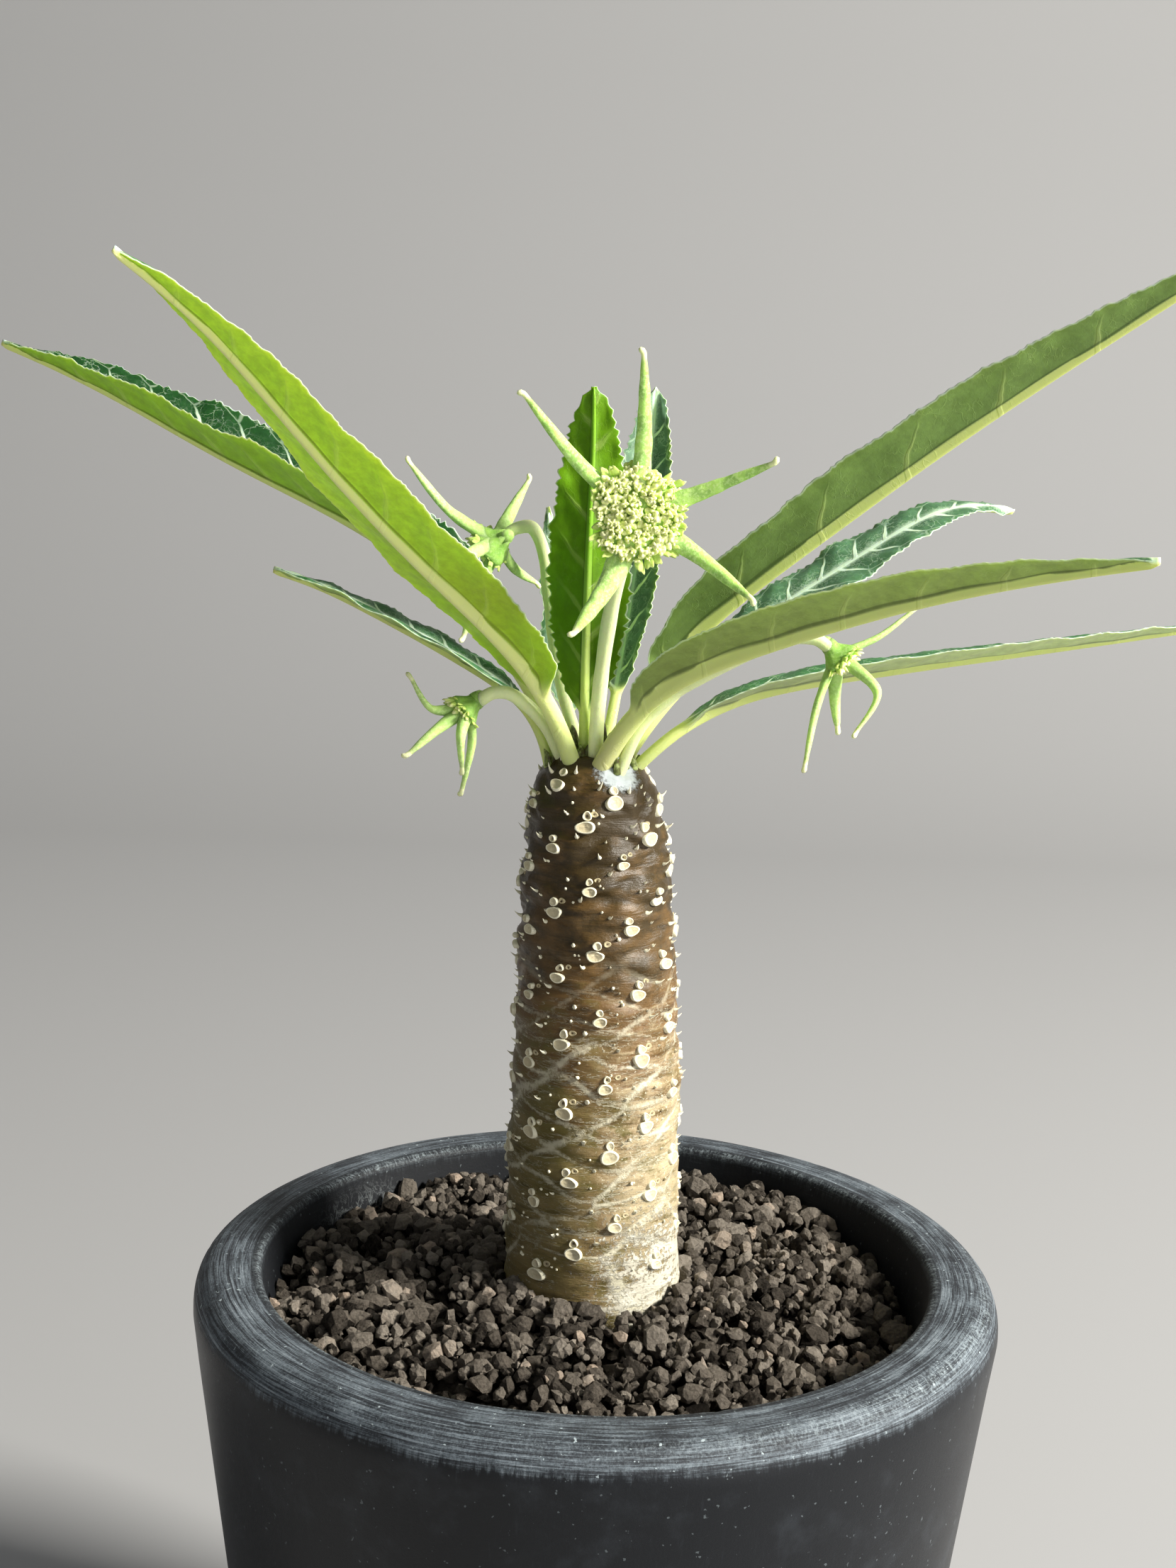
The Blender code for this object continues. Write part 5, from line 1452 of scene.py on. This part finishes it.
def make_stage(settings):
    """Pale floor that curves up into a backdrop, soft lights, and the camera."""
    rows = []
    half = 1.4
    for y, z in [(-1.4, 0.0), (0.55, 0.0)]:
        rows.append((y, z))
    for degrees in range(10, 91, 10):
        turn = radians(degrees)
        rows.append((0.55 + 0.3 * sin(turn), 0.3 * (1 - cos(turn))))
    rows.append((0.85, 1.6))
    mesh = bpy.data.meshes.new("backdrop")
    verts = [(x, y, z) for y, z in rows for x in (-half, half)]
    faces = [(2 * i, 2 * i + 1, 2 * i + 3, 2 * i + 2) for i in range(len(rows) - 1)]
    mesh.from_pydata(verts, [], faces)
    mesh.shade_smooth()
    look = Finish("backdrop_paper", roughness=0.9, specular=0.2)
    look.set("Base Color", settings.backdrop_colour)
    mesh.materials.append(look.material)
    backdrop = bpy.data.objects.new("backdrop", mesh)
    bpy.context.scene.collection.objects.link(backdrop)

    world = bpy.data.worlds.new("studio")
    world.use_nodes = True
    sky = world.node_tree.nodes["Background"]
    sky.inputs["Color"].default_value = (0.93, 0.96, 1.0, 1.0)
    sky.inputs["Strength"].default_value = settings.fill_strength
    bpy.context.scene.world = world
    bpy.context.scene.view_settings.view_transform = "Standard"
    aim = (0.0, 0.0, 0.13)
    add_area_light("key_light", (0.928, -0.336, 0.722), aim, 0.256, settings.key_power, (1.0, 0.97, 0.91))
    add_area_light("low_light", (0.45, -0.62, 0.06), aim, 0.5, settings.front_power, (0.95, 0.97, 1.0))

    lens = bpy.data.cameras.new("camera")
    lens.lens = CAMERA_LENS
    lens.sensor_width = CAMERA_SENSOR
    lens.clip_start = 0.01
    camera = bpy.data.objects.new("camera", lens)
    forward = Vector((sin(CAMERA_YAW) * cos(CAMERA_PITCH), cos(CAMERA_YAW) * cos(CAMERA_PITCH), sin(CAMERA_PITCH)))
    right = Vector((cos(CAMERA_YAW), -sin(CAMERA_YAW), 0.0))
    up = right.cross(forward)
    x_axis = right * cos(CAMERA_ROLL) + up * sin(CAMERA_ROLL)
    y_axis = up * cos(CAMERA_ROLL) - right * sin(CAMERA_ROLL)
    turn = Matrix((x_axis, y_axis, -forward)).transposed()
    camera.matrix_world = Matrix.Translation(Vector(CAMERA_PLACE) * MM) @ turn.to_4x4()
    bpy.context.scene.collection.objects.link(camera)
    bpy.context.scene.camera = camera


def colour_setting(name, text, default):
    """A colour that the user can change."""
    return FloatVectorProperty(name=name, description=text, default=default, min=0.0, max=1.0, size=3,
                               subtype="COLOR")


def length_setting(name, text, default, low, high):
    """A length that the user can change, given here in millimetres."""
    return FloatProperty(name=name, description=text, default=default * MM, min=low * MM, max=high * MM,
                         precision=5, subtype="DISTANCE")


def amount_setting(name, text, default, low, high):
    """A plain amount that the user can change."""
    return FloatProperty(name=name, description=text, default=default, min=low, max=high)


def size_setting(name, text, default, low, high):
    """A size in millimetres, or a plain amount, that the user can change."""
    return FloatProperty(name=name, description=text, default=default, min=low, max=high)


class PotSettings(bpy.types.PropertyGroup):
    """Sizes and colours of the pot."""

    sides: IntProperty(name="Sides", description="Sides of the turned pot", default=288, min=48, max=360)
    body_colour: colour_setting("Plastic", "Plain plastic", (0.006, 0.007, 0.009))
    faded_colour: colour_setting("Faded plastic", "Weathered plastic", (0.030, 0.035, 0.042))
    scuff_colour: colour_setting("Scuffs", "Brushed scuffs on the rim", (0.140, 0.168, 0.190))
    pale_scuff_colour: colour_setting("Pale scuffs", "Brightest scuffs on the rim", (0.33, 0.37, 0.40))
    # Colour of the dusty band and of the painted highlight on the rim's outer edge
    dust_and_highlight_colour: colour_setting("Dust", "Dust along the rim's edges", (0.36, 0.42, 0.44))


class SubstrateSettings(bpy.types.PropertyGroup):
    """Sizes and colours of the grit."""

    grain_size: length_setting("Grain size", "Mean distance between grains", 1.6, 1.2, 4.0)
    seed: IntProperty(name="Seed", description="Seed of the random grains", default=12, min=0)
    dark_colour: colour_setting("Dark", "Darkest grains", (0.012, 0.010, 0.008))
    middle_colour: colour_setting("Middle", "Most grains", (0.122, 0.104, 0.084))
    pale_colour: colour_setting("Pale", "Paler grains", (0.29, 0.255, 0.21))
    tan_colour: colour_setting("Tan", "The few brightest grains", (0.50, 0.39, 0.30))


class TrunkSettings(bpy.types.PropertyGroup):
    """Sizes and colours of the trunk and its scars."""

    scar_radius: length_setting("Scar radius", "Mean radius of a leaf scar", 0.88, 0.4, 1.5)
    # Ruddy brown laid on the side facing the key light: painted light
    ruddy_lit_colour: colour_setting("Ruddy bark", "Ruddy bark on the front right", (0.270, 0.150, 0.080))
    dark_colour: colour_setting("Dark bark", "Young bark near the crown", (0.046, 0.029, 0.008))
    brown_colour: colour_setting("Brown bark", "Bark below the crown", (0.145, 0.080, 0.024))
    olive_colour: colour_setting("Olive bark", "Bark half way down", (0.125, 0.100, 0.022))
    tan_colour: colour_setting("Tan bark", "Old bark", (0.20, 0.150, 0.055))
    # Cream laid low on the side facing the key light: painted light
    cream_lit_colour: colour_setting("Cream bark", "Palest bark, low on the front right", (0.52, 0.43, 0.26))
    net_colour: colour_setting("Net", "Corky lines between the scars", (0.66, 0.62, 0.46))
    crust_colour: colour_setting("Crust", "Flaky crust above the grit", (0.62, 0.60, 0.50))
    scar_middle: colour_setting("Scar middle", "Middle of a scar", (0.50, 0.42, 0.25))
    scar_pale: colour_setting("Scar light", "Lighter marks in a scar", (0.74, 0.67, 0.46))
    scar_rim: colour_setting("Scar rim", "Raised rim of a scar", (0.88, 0.83, 0.62))


class LeafSettings(bpy.types.PropertyGroup):
    """Sizes and colours of the leaves."""

    leaf_step: length_setting("Step", "Distance between a leaf's cross-sections", 0.30, 0.1, 2.0)
    blade_thickness: length_setting("Blade thickness", "Thickness of a blade", 0.44, 0.2, 1.0)
    tooth_pitch: length_setting("Tooth pitch", "Distance between teeth", 1.05, 0.5, 4.0)
    tooth_depth: length_setting("Tooth depth", "Depth of a tooth", 0.40, 0.0, 1.0)
    quilt: length_setting("Quilting", "How far the blade rises between side veins", 0.20, 0.0, 1.0)
    glow: amount_setting("Glow", "How much light spreads through a blade", 0.55, 0.0, 1.0)
    vein_colour: colour_setting("Veins", "Veins of the upper side", (0.62, 0.78, 0.58))
    keel_colour: colour_setting("Keel", "Keel below the blade", (0.72, 0.80, 0.28))
    stalk_colour: colour_setting("Stalk", "Foot of the stalk", (0.62, 0.70, 0.26))


class FlowerSettings(bpy.types.PropertyGroup):
    """Sizes and colours of the flower heads."""

    floret_size: length_setting("Floret size", "Width of a floret", 0.82, 0.3, 2.0)
    green_colour: colour_setting("Green", "Deeper green of the skin", (0.36, 0.62, 0.14))
    light_colour: colour_setting("Light green", "Lighter green of the skin", (0.56, 0.88, 0.20))
    wart_colour: colour_setting("Warts", "Tops of the fine warts", (0.76, 0.97, 0.42))
    stem_colour: colour_setting("Stem", "Stalk and arm tips", (0.86, 0.90, 0.52))
    # Green between the florets: partly their own colour, partly painted shade
    gap_green_and_shade_colour: colour_setting("Gaps", "Between the florets", (0.46, 0.66, 0.13))
    floret_colour: colour_setting("Florets", "Sides of the florets", (0.70, 0.86, 0.24))
    floret_tip_colour: colour_setting("Floret tips", "Tips of the florets", (0.88, 0.93, 0.42))


class StageSettings(bpy.types.PropertyGroup):
    """The floor, backdrop and lights."""

    backdrop_colour: colour_setting("Backdrop", "Floor and backdrop", (0.37, 0.37, 0.37))
    key_power: amount_setting("Key light", "Power of the key light in watts", 35.0, 0.0, 200.0)
    front_power: amount_setting("Low light", "Power of the low front light in watts", 2.0, 0.0, 200.0)
    fill_strength: amount_setting("Sky", "Strength of the light from all round", 0.22, 0.0, 5.0)


class PLANT_OT_pot(bpy.types.Operator):
    """Build the pot"""

    bl_idname = "plant.pot"
    bl_label = "Pot"

    def execute(self, context):
        """Build the pot."""
        make_pot(context.scene.plant_pot)
        return {"FINISHED"}


class PLANT_OT_substrate(bpy.types.Operator):
    """Build the grit that fills the pot"""

    bl_idname = "plant.substrate"
    bl_label = "Substrate"

    def execute(self, context):
        """Build the grit."""
        make_substrate(context.scene.plant_substrate)
        return {"FINISHED"}


class PLANT_OT_trunk(bpy.types.Operator):
    """Build the trunk with its scars, hooks and buds"""

    bl_idname = "plant.trunk"
    bl_label = "Trunk"

    def execute(self, context):
        """Build the trunk."""
        settings = context.scene.plant_trunk
        make_trunk_body(settings)
        make_scars(settings)
        make_crown(settings)
        return {"FINISHED"}


class PLANT_OT_leaves(bpy.types.Operator):
    """Build the leaves"""

    bl_idname = "plant.leaves"
    bl_label = "Leaves"

    def execute(self, context):
        """Build the leaves."""
        for i, (name, row) in enumerate(LEAVES.items()):
            make_leaf(name, row, context.scene.plant_leaves, 100 + 17 * i)
        return {"FINISHED"}


class PLANT_OT_flowers(bpy.types.Operator):
    """Build the flower heads"""

    bl_idname = "plant.flowers"
    bl_label = "Flower heads"

    def execute(self, context):
        """Build the flower heads."""
        for i, (name, row) in enumerate(FLOWERS.items()):
            make_flower(name, row, context.scene.plant_flowers, 300 + 13 * i)
        return {"FINISHED"}


class PLANT_OT_stage(bpy.types.Operator):
    """Build the floor, backdrop, lights and camera"""

    bl_idname = "plant.stage"
    bl_label = "Stage"

    def execute(self, context):
        """Build the stage."""
        make_stage(context.scene.plant_stage)
        return {"FINISHED"}


class PLANT_PT_panel(bpy.types.Panel):
    """The plant's settings and steps"""

    bl_idname = "PLANT_PT_panel"
    bl_label = "Potted Dorstenia"
    bl_space_type = "VIEW_3D"
    bl_region_type = "UI"
    bl_category = "Plant"

    def draw(self, context):
        """Show each group of settings with its step."""
        for key, _, step in GROUPS:
            box = self.layout.box()
            settings = getattr(context.scene, key)
            for name in settings.bl_rna.properties.keys():
                if name not in ("rna_type", "name"):
                    box.prop(settings, name)
            box.operator(step)


GROUPS = [
    ("plant_pot", PotSettings, "plant.pot"),
    ("plant_substrate", SubstrateSettings, "plant.substrate"),
    ("plant_trunk", TrunkSettings, "plant.trunk"),
    ("plant_leaves", LeafSettings, "plant.leaves"),
    ("plant_flowers", FlowerSettings, "plant.flowers"),
    ("plant_stage", StageSettings, "plant.stage"),
]
OPERATORS = [PLANT_OT_pot, PLANT_OT_substrate, PLANT_OT_trunk, PLANT_OT_leaves, PLANT_OT_flowers,
             PLANT_OT_stage]


def register():
    """Add the settings, the steps and the panel."""
    for key, group, _ in GROUPS:
        bpy.utils.register_class(group)
        setattr(bpy.types.Scene, key, PointerProperty(type=group))
    for operator in OPERATORS:
        bpy.utils.register_class(operator)
    bpy.utils.register_class(PLANT_PT_panel)


def unregister():
    """Take the panel, the steps and the settings away again."""
    bpy.utils.unregister_class(PLANT_PT_panel)
    for operator in reversed(OPERATORS):
        bpy.utils.unregister_class(operator)
    for key, group, _ in reversed(GROUPS):
        delattr(bpy.types.Scene, key)
        bpy.utils.unregister_class(group)


def main():
    """Register the add-on, run its steps in order and note the sizes."""
    register()
    bpy.ops.plant.pot()
    bpy.ops.plant.substrate()
    bpy.ops.plant.trunk()
    bpy.ops.plant.leaves()
    bpy.ops.plant.flowers()
    bpy.ops.plant.stage()


if __name__ == "__main__":
    main()
